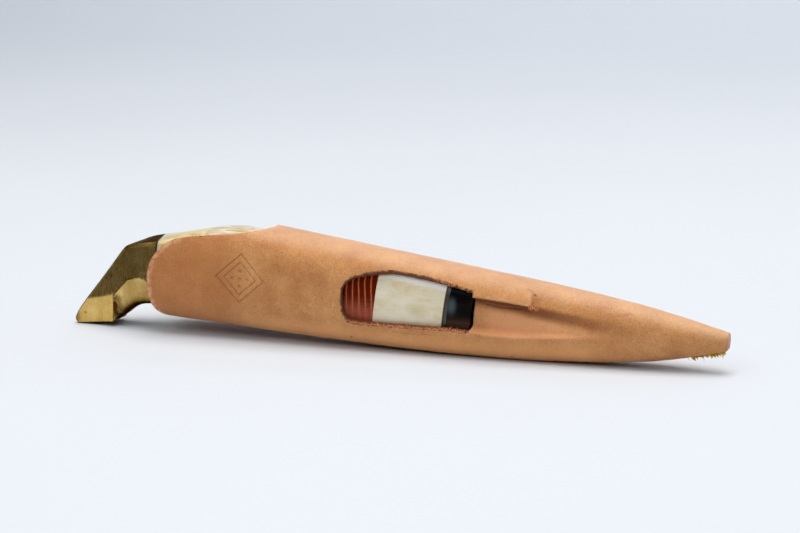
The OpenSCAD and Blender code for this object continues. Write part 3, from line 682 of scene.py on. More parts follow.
def cut_pattern():
    """The pattern with its mouth and its window cut out: points, faces, and for each point of a cut's rim the way
    out across it and the cut's number, 1 for the mouth and 2 for the window. The two cut lines come last."""
    flat, faces, same = sheath_pattern()
    mouth = mouth_line()
    wound = np.concatenate([mouth - [0, 100], mouth, mouth + [0, 100]])
    wound = wound[(wound[:, 1] > FLAT_FROM - 6) & (wound[:, 1] < FLAT_TO + 6)]
    at = np.arange(wound[0, 1], wound[-1, 1], 0.15)
    mouth = smooth_line(np.stack([np.interp(at, wound[:, 1], wound[:, 0]), at], -1)[::3], 0.15)
    window = np.array([(x, round_at(x, z)) for x, z in smooth_line(WINDOW, 0.15)])
    centre = np.array([flat[f].mean(0) for f in faces])
    in_mouth = centre[:, 0] < np.interp(centre[:, 1], mouth[:, 1], mouth[:, 0])
    in_window = within(centre, window)

    # Points between kept and cut faces are drawn onto the cut line
    kept, by_mouth, by_window = (np.zeros(len(flat), bool) for _ in range(3))
    for k, f in enumerate(faces):
        (by_mouth if in_mouth[k] else by_window if in_window[k] else kept)[f] = True
    lateral = np.zeros((len(flat), 2))
    rim = np.zeros(len(flat), int)
    window_middle = np.array([-20.0, round_at(-20, 14)])
    for number, beside, line in ((1, by_mouth, mouth), (2, by_window, window)):
        ids = np.where(beside & kept)[0]
        place, flow = nearest(flat[ids], line)
        side = np.stack([-flow[:, 1], flow[:, 0]], -1)
        if number == 1:
            side *= np.where(side[:, 0] > 0, -1, 1)[:, None]
        else:
            side *= np.sign(((window_middle - place) * side).sum(1))[:, None]
        rough = np.array([rough_noise((*p, 0), 1.6, number) * 0.14 + rough_noise((*p, 0), 0.6, number) * 0.12
                          for p in place])
        flat[ids] = place - side * (ROUND_OFF + rough)[:, None]
        lateral[ids], rim[ids] = side, number

    # The pattern's two long sides become one, and points without a face go
    index = np.arange(len(flat))
    for i, j in same.items():
        index[i] = j
    faces = [[int(index[v]) for v in f] for k, f in enumerate(faces) if not (in_mouth[k] or in_window[k])]
    faces = [f for f in faces if len(set(f)) == len(f)]
    order = sorted({v for f in faces for v in f})
    new = {v: i for i, v in enumerate(order)}
    return flat[order], [[new[v] for v in f] for f in faces], lateral[order], rim[order], mouth, window


def open_edges(faces):
    """The edges of a net that have a face on one side only."""
    edges = dict.fromkeys((a, b) for f in faces for a, b in zip(f, f[1:] + f[:1]))
    return [(a, b) for a, b in edges if (b, a) not in edges]


def sheath_masks(points, raw, mouth, window):
    """How far each mark of wear, and each painted light and painted shade, shows at each point of the leather."""
    x, y, z = points.T
    near = y < 0
    _, bottom, top, _ = form_at(x)
    cuts = np.concatenate([wrapped(line, 0.0)[::3] for line in (mouth, window)])
    edge_gap = np.concatenate([np.sqrt(((part[:, None] - cuts[None]) ** 2).sum(-1)).min(1)
                               for part in np.array_split(points, 20)])
    patchy = np.array([rough_noise(p, 0.9, 5.3) + 0.5 * rough_noise(p, 0.45, 2.1) for p in points])

    # Raw where the grain is rubbed off: at the cut edges, most of all at the tongue's end, and on the flap
    reach = np.where(x < AT_MOUTH + 2, 2.1, 0.5) * (1 + 0.5 * patchy)
    raw = np.maximum(raw, ease(1 - (edge_gap - 0.3) / reach) * np.where(x < -95, 0.95, 0.12))
    raw = raw * np.clip(0.7 + 1.5 * patchy, 0.05, 1)
    flap = (0.55 * near_line(x, z, TAB_EDGE, 0.75) + 0.6 * near_line(x, z, TAB_END, 1.0)) * (0.7 + 0.6 * patchy)
    raw = np.maximum(raw, np.where(near, np.clip(flap, 0, 0.85), 0))

    reddened = ease(1 - edge_gap / 2.4) * ease((-72 - x) / 4) * ease((x + 101) / 6) * np.clip(0.6 + patchy, 0, 1)
    rim_line = ease(1 - np.abs(edge_gap - 1.9) / 0.9) * ease((AT_SWELL - x) / 6) * np.clip(0.55 + patchy, 0, 1)
    reddened = np.maximum(reddened, 0.9 * rim_line)
    for at, size in RUBBED:
        rub = 1.5 * spot(x, z, at, size, 1.1)
        reddened = np.maximum(reddened, rub * np.clip(0.4 + 1.4 * patchy, 0, 0.9))

    # Darker along the burnished tooling, and painted shade along the slit under the flap and in the first three
    # creases
    burnished_and_crease_shade = np.maximum(0.85 * (near_line(x, z, SLIT, 0.55) * flat_band(x, 1, 18.4, 1.2)), 0.34 * tooled(x, z))
    for line, _, width in CREASES[:3]:
        burnished_and_crease_shade = np.maximum(burnished_and_crease_shade, 0.45 * near_line(x, z, line, width * 0.8))

    # The dent beside the blade: painted shade on its slope under the flap, and painted light on its floor
    deep = ease((x - DENT_START) / 2) * (1 - ease((x - 16) / 40))
    slope = ease((z - top + 7.4) / 2.4) * ease((top - 2.4 - z) / 1.6) * deep
    slope = slope * np.maximum(ease((x - 18.6) / 0.8), ease((straight(SLIT, x) - z) / 0.4))
    floor = (ease((z - bottom - 5.0) / 2) * ease((top - 6.2 - z) / 2) * deep
             * (0.35 + 0.65 * ease((x - 2) / 6)))

    # Darker towards the mouth, where hands darkened it and partly painted shade, and painted shade on the toe's end
    # face
    handled_and_shaded = ease((AT_MOUTH - x) / 18) * (1 - 0.6 * ease((z - 19) / 5))
    # Paler along the top with wear and a painted highlight, and a little paler towards the toe
    return {"worn": 0.55 * ease((z - top + 1.5) / 3.4) + 0.05 * ease((x - 26) / 30) * ease((z - 9) / 8),
            "dent_painted_shade": np.where(near, slope, 0), "dent_painted_light": np.where(near, floor, 0),
            "burnished_and_crease_shade": np.where(near, burnished_and_crease_shade, 0), "raw": raw,
            "handled_and_shaded": np.maximum(handled_and_shaded, 0.8 * ease((x - AT_TOE + 0.3) / 0.4)),
            # Paler on the underside: painted light from the floor
            "belly": ease((bottom + 6.5 - z) / 5) * ease((x - AT_SWELL) / 20) * ease((52 - x) / 20),
            "reddened": np.where(near, reddened, 0)}


def sheath():
    """The leather: its grain side and flesh side, the cut edges between them, and the closed toe."""
    flat, faces, lateral, rim, mouth, window = cut_pattern()
    count = len(flat)
    points, rawness, all_faces, slots = [], [], [], []

    def lay(ring, raw=0.0):
        """Adds points, and gives the number of the first."""
        points.append(ring)
        rawness.append(np.full(len(ring), raw))
        return sum(len(r) for r in points[:-1])

    def strips(edges, rings, at, beyond=0, slot=0):
        """Walls along border edges, through rings of points and on to the points that lie so far beyond."""
        for edge in edges:
            a, b = ([v] + [first + at[v] for first in rings] + [v + beyond] * (beyond > 0) for v in edge)
            for k in range(len(a) - 1):
                all_faces.append((b[k], a[k], a[k + 1], b[k + 1]))
                slots.append(slot if k else 0)

    def fan(edges, hub, slot):
        """Closes an open end with faces round a hub."""
        all_faces.extend((b, a, hub) for a, b in edges)
        slots.extend([slot] * len(edges))

    lay(wrapped(flat, 0.0))
    lay(wrapped(flat, LEATHER))
    solid = flat[:, 0] > HOLLOW_END + 0.01
    lining = [tuple(v + count for v in reversed(f)) for f in faces if not any(solid[v] for v in f)]
    all_faces += [tuple(f) for f in faces] + lining
    slots += [0] * len(faces) + [2] * len(lining)
    border = open_edges(faces)

    # The cut edges: rounded off on the grain side, straight through, rounded a little on the flesh side
    profile = [(ROUND_OFF * math.sin(a), ROUND_OFF * (1 - math.cos(a))) for a in np.radians([22, 45, 68, 90])]
    profile += [(ROUND_OFF + 0.04, 0.85), (ROUND_OFF + 0.02, 1.3), (ROUND_OFF, 1.75), (ROUND_OFF - 0.08, 2.05),
                (ROUND_OFF - 0.3, LEATHER)]
    on_rim = np.where(rim > 0)[0]
    rings = []
    for out, depth in profile:
        ring = wrapped(flat[on_rim] + lateral[on_rim] * out, depth)
        ring[:, 1] += np.array([rough_noise(p, 0.55, depth) * 0.08 for p in ring]) * min(1, depth)
        rings.append(lay(ring, 1.0 if depth < 0.35 else 0.25 if depth < 0.7 else 0.0))
    strips([(a, b) for a, b in border if rim[a] > 0 and rim[b] > 0], rings, {v: k for k, v in enumerate(on_rim)},
           count, 1)

    # The toe: its end is rounded and closed, and the hollow ends in front of the blade's tip
    toe_edges = [(a, b) for a, b in border if rim[a] == 0 or rim[b] == 0]
    toe = sorted({v for e in toe_edges for v in e})
    at_toe = {v: k for k, v in enumerate(toe)}
    rings = []
    for ahead, less in ((0.25, 0.08), (0.4, 0.25), (0.45, 0.5), (0.4, 1.1), (0.36, 1.7), (0.36, 2.3)):
        ring = wrapped(np.stack([flat[toe, 0] + ahead, flat[toe, 1]], -1), 0.0)
        shrink = max(0.02, 1 - less / 2.55)
        ring[:, 1] *= shrink
        ring[:, 2] = TOE_HEIGHT + (ring[:, 2] - TOE_HEIGHT) * shrink
        rings.append(lay(ring, 0.25 if less > 0.1 else 0.0))
    strips(toe_edges, rings, at_toe)
    fan([(rings[-1] + at_toe[a], rings[-1] + at_toe[b]) for a, b in toe_edges],
        lay(np.array([[AT_TOE - 0.1, 0, TOE_HEIGHT]])), 0)
    at_end = np.abs(flat[:, 0] - HOLLOW_END) < 0.01
    fan([(a, b) for a, b in open_edges(lining) if at_end[a - count] and at_end[b - count]],
        lay(np.array([[HOLLOW_END, 0, TANG_MIDDLE]])), 2)

    used = sorted({v for f in all_faces for v in f})
    new = {v: i for i, v in enumerate(used)}
    every, raw = np.concatenate(points)[used], np.concatenate(rawness)[used]
    make("sheath_leather_skin", every, [tuple(new[v] for v in f) for f in all_faces], sheath_skin, "sheath",
         "leather", ["sheath_leather"], extra=(cut_edge, flesh_side), face_slots=slots,
         masks=sheath_masks(every, raw, mouth, window))


sheath()


# ---------------------------------------------------------------- the seam, its thread and the lacing
def on_sheath(x, around, out):
    """A point at a height out above the leather's grain side, for a place on the pattern."""
    flat = np.array([[x, around]])
    skin, below = wrapped(flat, 0.0)[0], wrapped(flat, LEATHER)[0]
    return skin + (skin - below) / (np.linalg.norm(skin - below) + 1e-9) * out


def fibre(rng, start, way, length, steps, drift, radii):
    """A loose fibre that wanders: drift is how far its way may turn at each step, along x, y and z."""
    path = [start]
    for _ in range(steps):
        way = way + np.array([rng.uniform(*d) for d in drift])
        path.append(path[-1] + way / np.linalg.norm(way) * length / steps)
    return tube(path, np.linspace(*radii, steps + 1), 6)


def seam_thread():
    """Stitches of two-ply linen, pulled down into the groove, with the frayed end under the toe."""
    cords = []
    thick = np.minimum(THREAD / 2, 0.34 + 1.2 * np.sin(np.linspace(0, math.pi, 15)))
    for i in range(int((SEAM_END - SEAM_START - STITCH_LENGTH) / STITCH_PITCH) + 1):
        path = []
        for t in np.linspace(0, 1, 15):
            x = SEAM_START + i * STITCH_PITCH + STITCH_LENGTH * t
            arch = -0.42 * (2 * abs(t - 0.5)) ** 3
            path.append(on_sheath(x, float(np.interp(x, TABLE_X, SEAM_TABLE)), THREAD / 2 - 0.1 + arch))
        cords.append(tube(path, thick, 12, 0.16, 0.55))
    rng = random.Random(11)
    for k in range(120):
        x = 64.2 + 10.6 * rng.random() ** 0.55
        start = on_sheath(x, 1.2 * rng.random(), rng.uniform(0.9, 1.25)) - [0, 0.5, 0]
        stray = k % 12 == 0
        way = np.array([rng.uniform(0.5, 1.5), rng.uniform(-0.6, 0.2), rng.uniform(-0.7, 0.1) - 0.8 * stray])
        length = rng.uniform(0.8, 2.0) + 0.6 * stray
        cords.append(fibre(rng, start, way, length, 7, ((-0.3, 0.3), (-0.4, 0.3), (-0.4, 0.42)),
                           (0.08, 0.05) if stray else (0.26, 0.1)))
    make("seam_stitches", *joined(cords), linen_thread, "sheath", "thread", ["seam_thread"])


def torn_fibres():
    """Loose fibres of the hide: along the window's lower rim, where the cut tore, at the flap's end, and on the
    window's upper rim beside the blade."""
    rng = random.Random(5)
    lower_rim, upper_rim = sorted(WINDOW[14:21]), sorted(WINDOW[5:10])
    starts = [(x, straight(lower_rim, x), 1) for x in np.linspace(-37.5, -0.6, 210)]
    starts += [(x, 17.6 + 0.3 * rng.random(), -1) for x in np.linspace(18.2, 20.6, 14)]
    starts += [(x, straight(upper_rim, x) + 0.1, -1) for x in np.linspace(-12, -0.6, 26)]
    cords = []
    for x, z, side in starts:
        x += rng.uniform(-0.25, 0.25)
        start = on_sheath(x, round_at(x, z - 0.15 * side), -0.25 - 0.7 * rng.random() * (side > 0))
        way = np.array([rng.uniform(-0.9, 0.9), -0.35 - 0.5 * rng.random(), side * (0.25 + 0.6 * rng.random())])
        length = rng.uniform(0.5, 1.3) * (1.4 if x > -9 else 1)
        cords.append(fibre(rng, start, way, length, 5, ((-0.5, 0.5), (-0.2, 0.3), (-0.4, 0.3)), (0.19, 0.07)))
    make("torn_leather_fibres", *joined(cords), torn_fibre, "sheath", "leather")


def belt_loop():
    """The strap: one piece of leather folded into a loop, its edges rounded and rubbed to a burnish."""
    r = LOOP_DEPTH / 2 - STRAP / 2
    left, right = LOOP_FRONT - LOOP_LENGTH + LOOP_DEPTH / 2, LOOP_FRONT - LOOP_DEPTH / 2
    middle = LOOP_Y + LOOP_DEPTH / 2
    path = []
    for start, end, way in ((left, right, 1), (right, left, -1)):
        path += [(x, middle - way * r, 0, -way) for x in np.linspace(start, end, 34)]
        path += [(end + way * r * math.sin(a), middle - way * r * math.cos(a), way * math.sin(a), -way * math.cos(a))
                 for a in np.linspace(0, math.pi, 22)[1:-1]]
    half_t, half_w, edge = STRAP / 2, STRAP_WIDTH / 2, 0.7
    outline = []
    for cx, cz, start in ((half_t - edge, half_w - edge, 0), (-half_t + edge, half_w - edge, 90),
                          (-half_t + edge, -half_w + edge, 180), (half_t - edge, -half_w + edge, 270)):
        outline += [(cx + edge * math.cos(math.radians(start + a)), cz + edge * math.sin(math.radians(start + a)))
                    for a in (0, 22, 45, 68, 90)]
        if start == 90:
            outline += [(-half_t, z) for z in np.linspace(cz, -cz, 14)[1:-1]]
    points = []
    for x, y, nx, ny in path:
        for t, w in outline:
            out = t + 0.06 * rough_noise((x, w, 3), 5.0) * (t > 0)
            points.append((x + nx * out, y + ny * out, STRAP_LOW + half_w + w))
    make("belt_loop_strap", points, loft_faces(len(path), len(outline), closed=True), strap_skin, "sheath",
         "strap", ["belt_loop"])


def back_skin(x, z):
    """How far out the sheath's far face lies at a height."""
    power, low, high, half = form_at(x, WRAP)
    return float(half * (1 - abs((2 * z - low - high) / (high - low)) ** power) ** (1 / power))


def lacing():
    """Two turns of waxed lace that hold the strap's inner leg, and the tail that runs to its knot."""
    lacing_x = LOOP_FRONT - LOOP_DEPTH / 2 - 3
    tail_x = lacing_x - 12
    low, high = STRAP_LOW - LACING / 2 - 0.1, STRAP_LOW + STRAP_WIDTH + 0.1 + LACING / 2
    over = LOOP_Y + STRAP + 0.1 + LACING / 2
    lace = (LACING / 2 - 0.02, 12, 0.08, 0.3)
    cords = []
    for x in (lacing_x, tail_x):
        foot, head = back_skin(x, low), back_skin(x, high)
        path = [(x, foot - 0.4, low)] + [(x, y, low) for y in np.linspace(foot + 0.3, over - 0.5, 6)]
        path += [(x, over - 0.15, low + 0.15)] + [(x, over, z) for z in np.linspace(low + 0.5, high - 0.5, 20)]
        path += [(x, over - 0.15, high - 0.15)] + [(x, y, high) for y in np.linspace(over - 0.5, head + 0.3, 6)]
        cords.append(tube(smooth_line(path + [(x, head - 0.4, high)], 0.35), *lace))

    def below(ahead, degrees, out):
        """A point on the far face, towards the belly."""
        around = np.interp(math.radians(degrees), TURNS[row_of(tail_x)], TABLE_ROUND)
        return on_sheath(tail_x + ahead, -float(around), out)

    tail = [below(1.3 * k / 25, turn, LACING / 2 + 0.08) for k, turn in enumerate(np.linspace(58, 14, 26))]
    cords.append(tube(tail, *lace))
    hub = below(1.3, 14, KNOT / 2 + 0.1)
    knot = []
    for t in np.linspace(0, 2 * math.pi, 40):
        r = 0.52 + 0.2 * math.cos(3 * t)
        knot.append(hub + np.array([r * math.cos(2 * t), r * math.sin(2 * t), 0.34 * math.sin(3 * t)]))
    cords.append(tube(knot, 0.3, 10, 0.08, 0.6))
    for way in ((0.9, -0.25, -0.35), (-0.8, -0.3, -0.45)):
        end = [hub + np.array(way) * t + np.array([0, 0, -0.12]) * t * t for t in np.linspace(0.2, 1.5, 8)]
        cords.append(tube(end, np.linspace(0.3, 0.22, 8), 10))
    make("loop_lacing_lace", *joined(cords), waxed_lace, "sheath", "lacing", ["loop_lacing"])


seam_thread()
torn_fibres()
belt_loop()
lacing()

for name in ("liner_near_half", "liner_far_half"):
    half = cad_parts[name]
    half.data.materials.clear()
    half.data.materials.append(liner_wood)

# ---------------------------------------------------------------- the knife
AROUND = 144
AT_NOTCH = -120.6

# The pommel's profile, from the joint to the tip of the beak: its underside with the notch, and its back
POMMEL_UNDER = [(AT_POMMEL, 0.9), (-110.6, 0.5), (-112.6, -0.1), (-114.4, -1.0), (-116.5, -2.4), (-118.2, -3.9),
                (-119.3, -4.7), (-119.9, -5.2), (-120.2, -5.5), (-120.4, -5.75), (-120.7, -6.0)]
POMMEL_BACK = [(AT_POMMEL, 22.0), (-111.8, 21.15), (-115.1, 20.0), (-118.2, 18.4), (-122.1, 12.9), (-126.5, 6.5),
               (-130.6, 0.6), (-132.6, -2.3), (-134.2, -4.9), (-134.9, -7.0), (-134.2, -8.6)]
SLANT_HIGH, SLANT_LOW = np.array(POMMEL_BACK[3]), np.array(POMMEL_BACK[6])
# Where the upper flat ends: along the beak's ridge, and round the rim of the scooped notch
RIDGE = [(-137, -1.6), (-132.4, -0.5), (-126, 1.2), (-121.5, 2.6), (AT_NOTCH, 3.0)]
SCOOP_RIM = [(-120.65, -9), (AT_NOTCH, 1.0), (-120.4, 2.6), (-118.1, 5.2), (-115.4, 8.4), (-112.2, 9.8),
             (-109.7, 9.1), (AT_POMMEL, 8.6)]
UPPER_FLAT = [(-137, 4.9), (-130, 5.5), (-124, 6.4), (-118, 8.0), (-112, 9.75), (AT_POMMEL, 10.6)]
# How much the upper flat leans, how round the back's edges are, and how far the joint and a far corner are off
FLAT_LEAN = 0.2
BACK_ROUNDING = [(0, 1.3), (1, 1.2), (2, 1.0), (3, 0.7), (4, 0.5), (9, 0.5), (10, 0.8)]
ASKEW, FAR_ROUND = 0.29, 4.4


def on_line(stations, k):
    """A point between numbered stations (x, z)."""
    return np.array([float(curve(list(enumerate([p[i] for p in stations])), k)) for i in (0, 1)])


def half_thickness(x, z):
    """Half the pommel's thickness: an upper flat that leans in towards the back, and the beak's lower flat."""
    upper = float(curve(UPPER_FLAT, x))
    if x >= AT_NOTCH:
        return upper - FLAT_LEAN * z
    ridge = straight(RIDGE, x)
    return upper - FLAT_LEAN * max(z, ridge) - 0.045 * max(0.0, ridge - z)


def rim_share(under, back):
    """How far up a ring the rim of the scoop lies."""
    for share in np.linspace(0, 1, 401):
        x, z = under + (back - under) * share
        if x < AT_NOTCH or z > straight(SCOOP_RIM, x):
            return float(share)
    return 0.0


def pommel_ring(k):
    """A ring round the pommel, from the middle of its underside over the near side, and the painted shade in its
    scoop.
    """
    under, back = on_line(POMMEL_UNDER, k), on_line(POMMEL_BACK, k)
    length = np.linalg.norm(back - under)
    rim = rim_share(under, back)
    radius = float(straight(BACK_ROUNDING, k))
    shoulder = 1 - radius / length

    def thickness(share):
        return half_thickness(*(under + (back - under) * share))

    scooped = min(1.0, rim * length / 1.5)
    edge = thickness(rim + 0.002) * (1 - 0.4 * float(ease(1 - abs(k - 6.6) / 3.2)) * scooped)
    half = []
    for t in np.linspace(0, math.pi / 2, 23)[:-1]:
        flat = max(0.0, edge - 0.35 * (1 - scooped)) * (t / (math.pi / 2)) ** 0.8
        half.append((rim * (1 - math.cos(t) ** 0.74), flat + (edge * math.sin(t) ** 0.74 - flat) * scooped,
                     0.85 * float(ease((0.95 - t) / 0.4)) * scooped))
    for share in rim + (shoulder - rim) * np.linspace(0, 1, 31)[:-1]:
        half.append((share, thickness(share), 0.0))
    top = thickness(shoulder)
    half += [(1 - radius / length * (1 - math.sin(t)), top - radius * (1 - math.cos(t)), 0.0)
             for t in np.linspace(0, math.pi / 2, 13)[:-1]]
    half += [(1.0, (top - radius) * (1 - t), 0.0) for t in np.linspace(0, 1, 9)]
    shares, ys, grime_and_shade = np.array(half).T
    p = under + (back - under) * shares[:, None]
    ring = np.stack([p[:, 0], -ys, p[:, 1]], -1)
    return np.concatenate([ring, (ring * (1, -1, 1))[-2:0:-1]]), np.concatenate([grime_and_shade, grime_and_shade[-2:0:-1]])


# The pommel's section at the joint, its heights as shares of the handle's height
JOINT_FORM = pommel_ring(0)[0]
JOINT_FORM[:, 2] = (JOINT_FORM[:, 2] - BELLY[0][1]) / (BACK[0][1] - BELLY[0][1])


def handle_ring(x, grow=0.0):
    """The handle's section in a plane that leans like the joints."""
    turn = np.linspace(0, 2 * math.pi, AROUND, endpoint=False)
    near = np.full(AROUND, float(x))
    middle = float(curve(BELLY, x) + curve(BACK, x)) / 2
    power = curve(POWER, x)
    for _ in range(3):
        low, high = curve(BELLY, near) - grow, curve(BACK, near) + grow
        z = (low + high) / 2 - (high - low) / 2 * signed(np.cos(turn), 2 / power)
        near = x + LEAN * (z - middle)
    half = curve(HALF, near) + grow
    y = -half * signed(np.sin(turn), 2 / power)
    # Near the pommel the handle was filed to the same flats, and the joint a little askew
    filed = float(ease((-x - 98) / 10))
    y = y + filed * (JOINT_FORM[:, 1] * half / HALF[0][1] - y)
    z = z + filed * (low + JOINT_FORM[:, 2] * (high - low) - z)
    askew = float(ease((-x - 91) / 15))
    return np.stack([near - ASKEW * askew * y, y, z], -1)


def hole_ring(x):
    """The tang's hole, with as many points as the handle's section."""
    turn = np.linspace(0, 2 * math.pi, AROUND, endpoint=False)
    hy, hz = TANG_THICKNESS / 2 + TANG_GAP, TANG_HEIGHT / 2 + TANG_GAP - 0.9 * ease(-x / 106)
    sy, sz = -np.sin(turn), -np.cos(turn)
    reach = 1 / np.maximum(np.abs(sy) / hy, np.abs(sz) / hz)
    return np.stack([np.full(AROUND, float(x)), reach * sy, TANG_MIDDLE + reach * sz], -1)


def block(name, front, rear, finish, slot, nodes, spacing=1.5, chamfer=0.05):
    """A block threaded on the tang, sanded flush with its neighbours. Its masks are the birch's upper part, with
    painted light on its curl over a painted sheen below, the horn's painted reflection along its foot and its painted
    bluish highlight, and the front bone's yellow spot and painted highlight along its top."""
    count = max(1, int(round((front - rear) / spacing)))
    stations = np.linspace(front - chamfer, rear + chamfer, count + 1)
    rings = [hole_ring(front), handle_ring(front, -chamfer)] + [handle_ring(x) for x in stations]
    rings += [handle_ring(rear, -chamfer), hole_ring(rear)]
    rings += [hole_ring(x) for x in np.linspace(rear, front, 4)[1:-1]]
    points = np.concatenate(rings)
    x, _, z = points.T
    # Painted highlight along the front bone's top edge
    painted_top_highlight = ease((z - np.interp(x, [-30, -8], [20.6, 18.2])) / 1.4) * ease((-6 - x) / 2) * (x > AT_BIRCH)
    # low puts a painted brown reflection on the horn's foot; bloom puts a painted bluish highlight on the horn
    masks = {"high": ease((z - 8.4) / 6.5), "low": 0.8 * ease((11.2 - z) / 0.9),
             "painted_bluish_highlight": 0.75 * spot(x, z, (-6.2, 14.8), (1.9, 3.0)),
             "yellowed": spot(x, z, (-16.6, 12.1), (4.4, 2.6)), "painted_top_highlight": painted_top_highlight}
    piece = make(name, points, loft_faces(len(rings), AROUND, closed=True), finish, "knife", slot, nodes,
                 masks=masks)
    sharpen(piece, 40)


block("horn_bolster", 0, AT_PLATE, horn, "horn", ["front_bolster"], 0.6, 0.15)
block("nickel_plate", AT_PLATE, AT_FIBRE, nickel_silver, "plate", ["bolster_plate"], 0.45, 0.03)
block("fibre_washer", AT_FIBRE, AT_FRONT_BONE, grey_fibre, "fibre", ["fibre_sheet"], 0.3, 0.03)
block("bone_block_front", AT_FRONT_BONE, AT_BIRCH, front_bone, "front_bone", ["front_bone_block"])
block("birch_block_red", AT_BIRCH, AT_WHITE_BONE, red_birch, "red_birch", ["red_birch_block"])
block("bone_block_white", AT_WHITE_BONE, AT_YELLOW_BONE, streaked_bone, "white_bone", ["white_bone_block"])
block("bone_block_yellow", AT_YELLOW_BONE, AT_SPACER, yellow_bone, "yellow_bone", ["yellow_bone_block"], 1.0)
block("spacer_black", AT_SPACER, AT_POMMEL, black_fibre, "spacer", ["pommel_spacer"], 0.6, 0.03)


def pommel():
    """The pommel: cast, then filed to an upper and a lower flat on each side, with a scooped notch."""
    joint = handle_ring(AT_POMMEL)
    rings, grime_and_shade_rings = [], []
    for k in np.concatenate([np.linspace(0, 1, 14), np.linspace(1, 9.8, 84)[1:]]):
        ring, grime_and_shade = pommel_ring(k)
        ring[:, 0] -= ASKEW * ring[:, 1] * (1 - float(ease(k / 3)))
        share = float(ease(k / 0.3))
        rings.append(joint * (1 - share) + ring * share)
        # The ring's painted shade, and more painted shade at the joint with the spacer
        grime_and_shade_rings.append(grime_and_shade + 0.25 * float(ease(1 - k / 0.15)))
    for k, keep in ((9.93, 0.975), (10.0, 0.9)):
        ring = pommel_ring(k)[0]
        hub = ring.mean(0)
        rings.append(hub + (ring - hub) * (0.5 + keep / 2, keep, 1))
        # Painted shade round the beak's tip
        grime_and_shade_rings.append(np.full(AROUND, 0.75))
    points = np.concatenate(rings + [[rings[0].mean(0)], [rings[-1].mean(0)]])
    x, y, z = points.T
    low = z - rest_height(x)

    # Darker at the foot, on the notch's wall and underside, on its far side, in the neck and at the tip: painted
    # shade and painted reflection of the shaded floor; and grime in a pit and a nick
    past_notch = ease((x - AT_NOTCH - 0.05) / 0.4)
    grime_and_shade = np.maximum.reduce([
        np.concatenate(grime_and_shade_rings + [[0.3, 0.8]]), 0.8 * ease(1 - low / 0.7),
        0.66 * past_notch * ease((-116.2 - x) / 2.6) * ease((4.2 - z) / 2.2),
        0.9 * past_notch * ease((-2.4 - z) / 1.4),
        0.6 * ease((y - 1.0) / 1.5) * ease((8.5 - z) / 2) * (x > AT_NOTCH + 0.1),
        0.32 * ease((x + 118) / 2) * ease(9.5 - z), 0.55 * ease((-132.2 - x) / 2) * ease((-3 - z) / 3),
        0.7 * spot(x, z, (-131.1, -4.5), (0.55, 0.55)) * (y < 0),
        0.7 * spot(x, z, (-122.2, 8.8), (0.7, 0.7)) * (y < 0)])
    # Painted shade along the pommel's top edge, darkening it to the upper flat's olive
    roof = ease(1.5 - (straight(POMMEL_BACK[3::-1], x) - z) / 0.9) * ease((x + 118.4) / 0.8)

    z += np.maximum(0, 0.02 - low)
    # The beak's far corner at the notch was filed round
    corner = np.clip(AT_NOTCH + 0.1 - x, 0, FAR_ROUND)
    most = half_thickness(-121, -4) - FAR_ROUND + np.sqrt(FAR_ROUND ** 2 - (FAR_ROUND - corner) ** 2)
    y -= np.maximum(0, y - most) * (ease((2 - z) / 4.5) * ease(-119.3 - x))
    hub, last = len(rings) * AROUND, (len(rings) - 1) * AROUND
    faces = loft_faces(len(rings), AROUND)[:-2]
    faces += [(hub, (i + 1) % AROUND, i) for i in range(AROUND)]
    faces += [(hub + 1, last + i, last + (i + 1) % AROUND) for i in range(AROUND)]
    piece = make("pommel_of_brass", points, faces, brass, "knife", "brass", ["brass_pommel"],
                 masks={"grime_and_shade": grime_and_shade, "roof_painted_shade": 0.85 * roof})
    sharpen(piece, 14)


# The blade's back and its edge, as (x, z)
BLADE_BACK = [(0, 20.3), (38, float(curve(BACK, 38)) - 2.0), (54, 16.3), (BLADE_LENGTH, 12.95)]
BLADE_EDGE = [(0, 4.9), (36, 6.5), (52, 8.7), (BLADE_LENGTH, 12.45)]
# The tang's round end: how far out of the slanted back each ring lies and its share of the radius. The first
# ring lies inside the pommel, at TANG_END.
TANG_END, PEEN_AROUND = -104.2, 40
PEEN = [(None, 1.0), (-0.35, 1.0), (0.05, 1.06), (0.16, 1.02), (0.2, 0.9), (0.22, 0.5), (0.22, 0.1)]


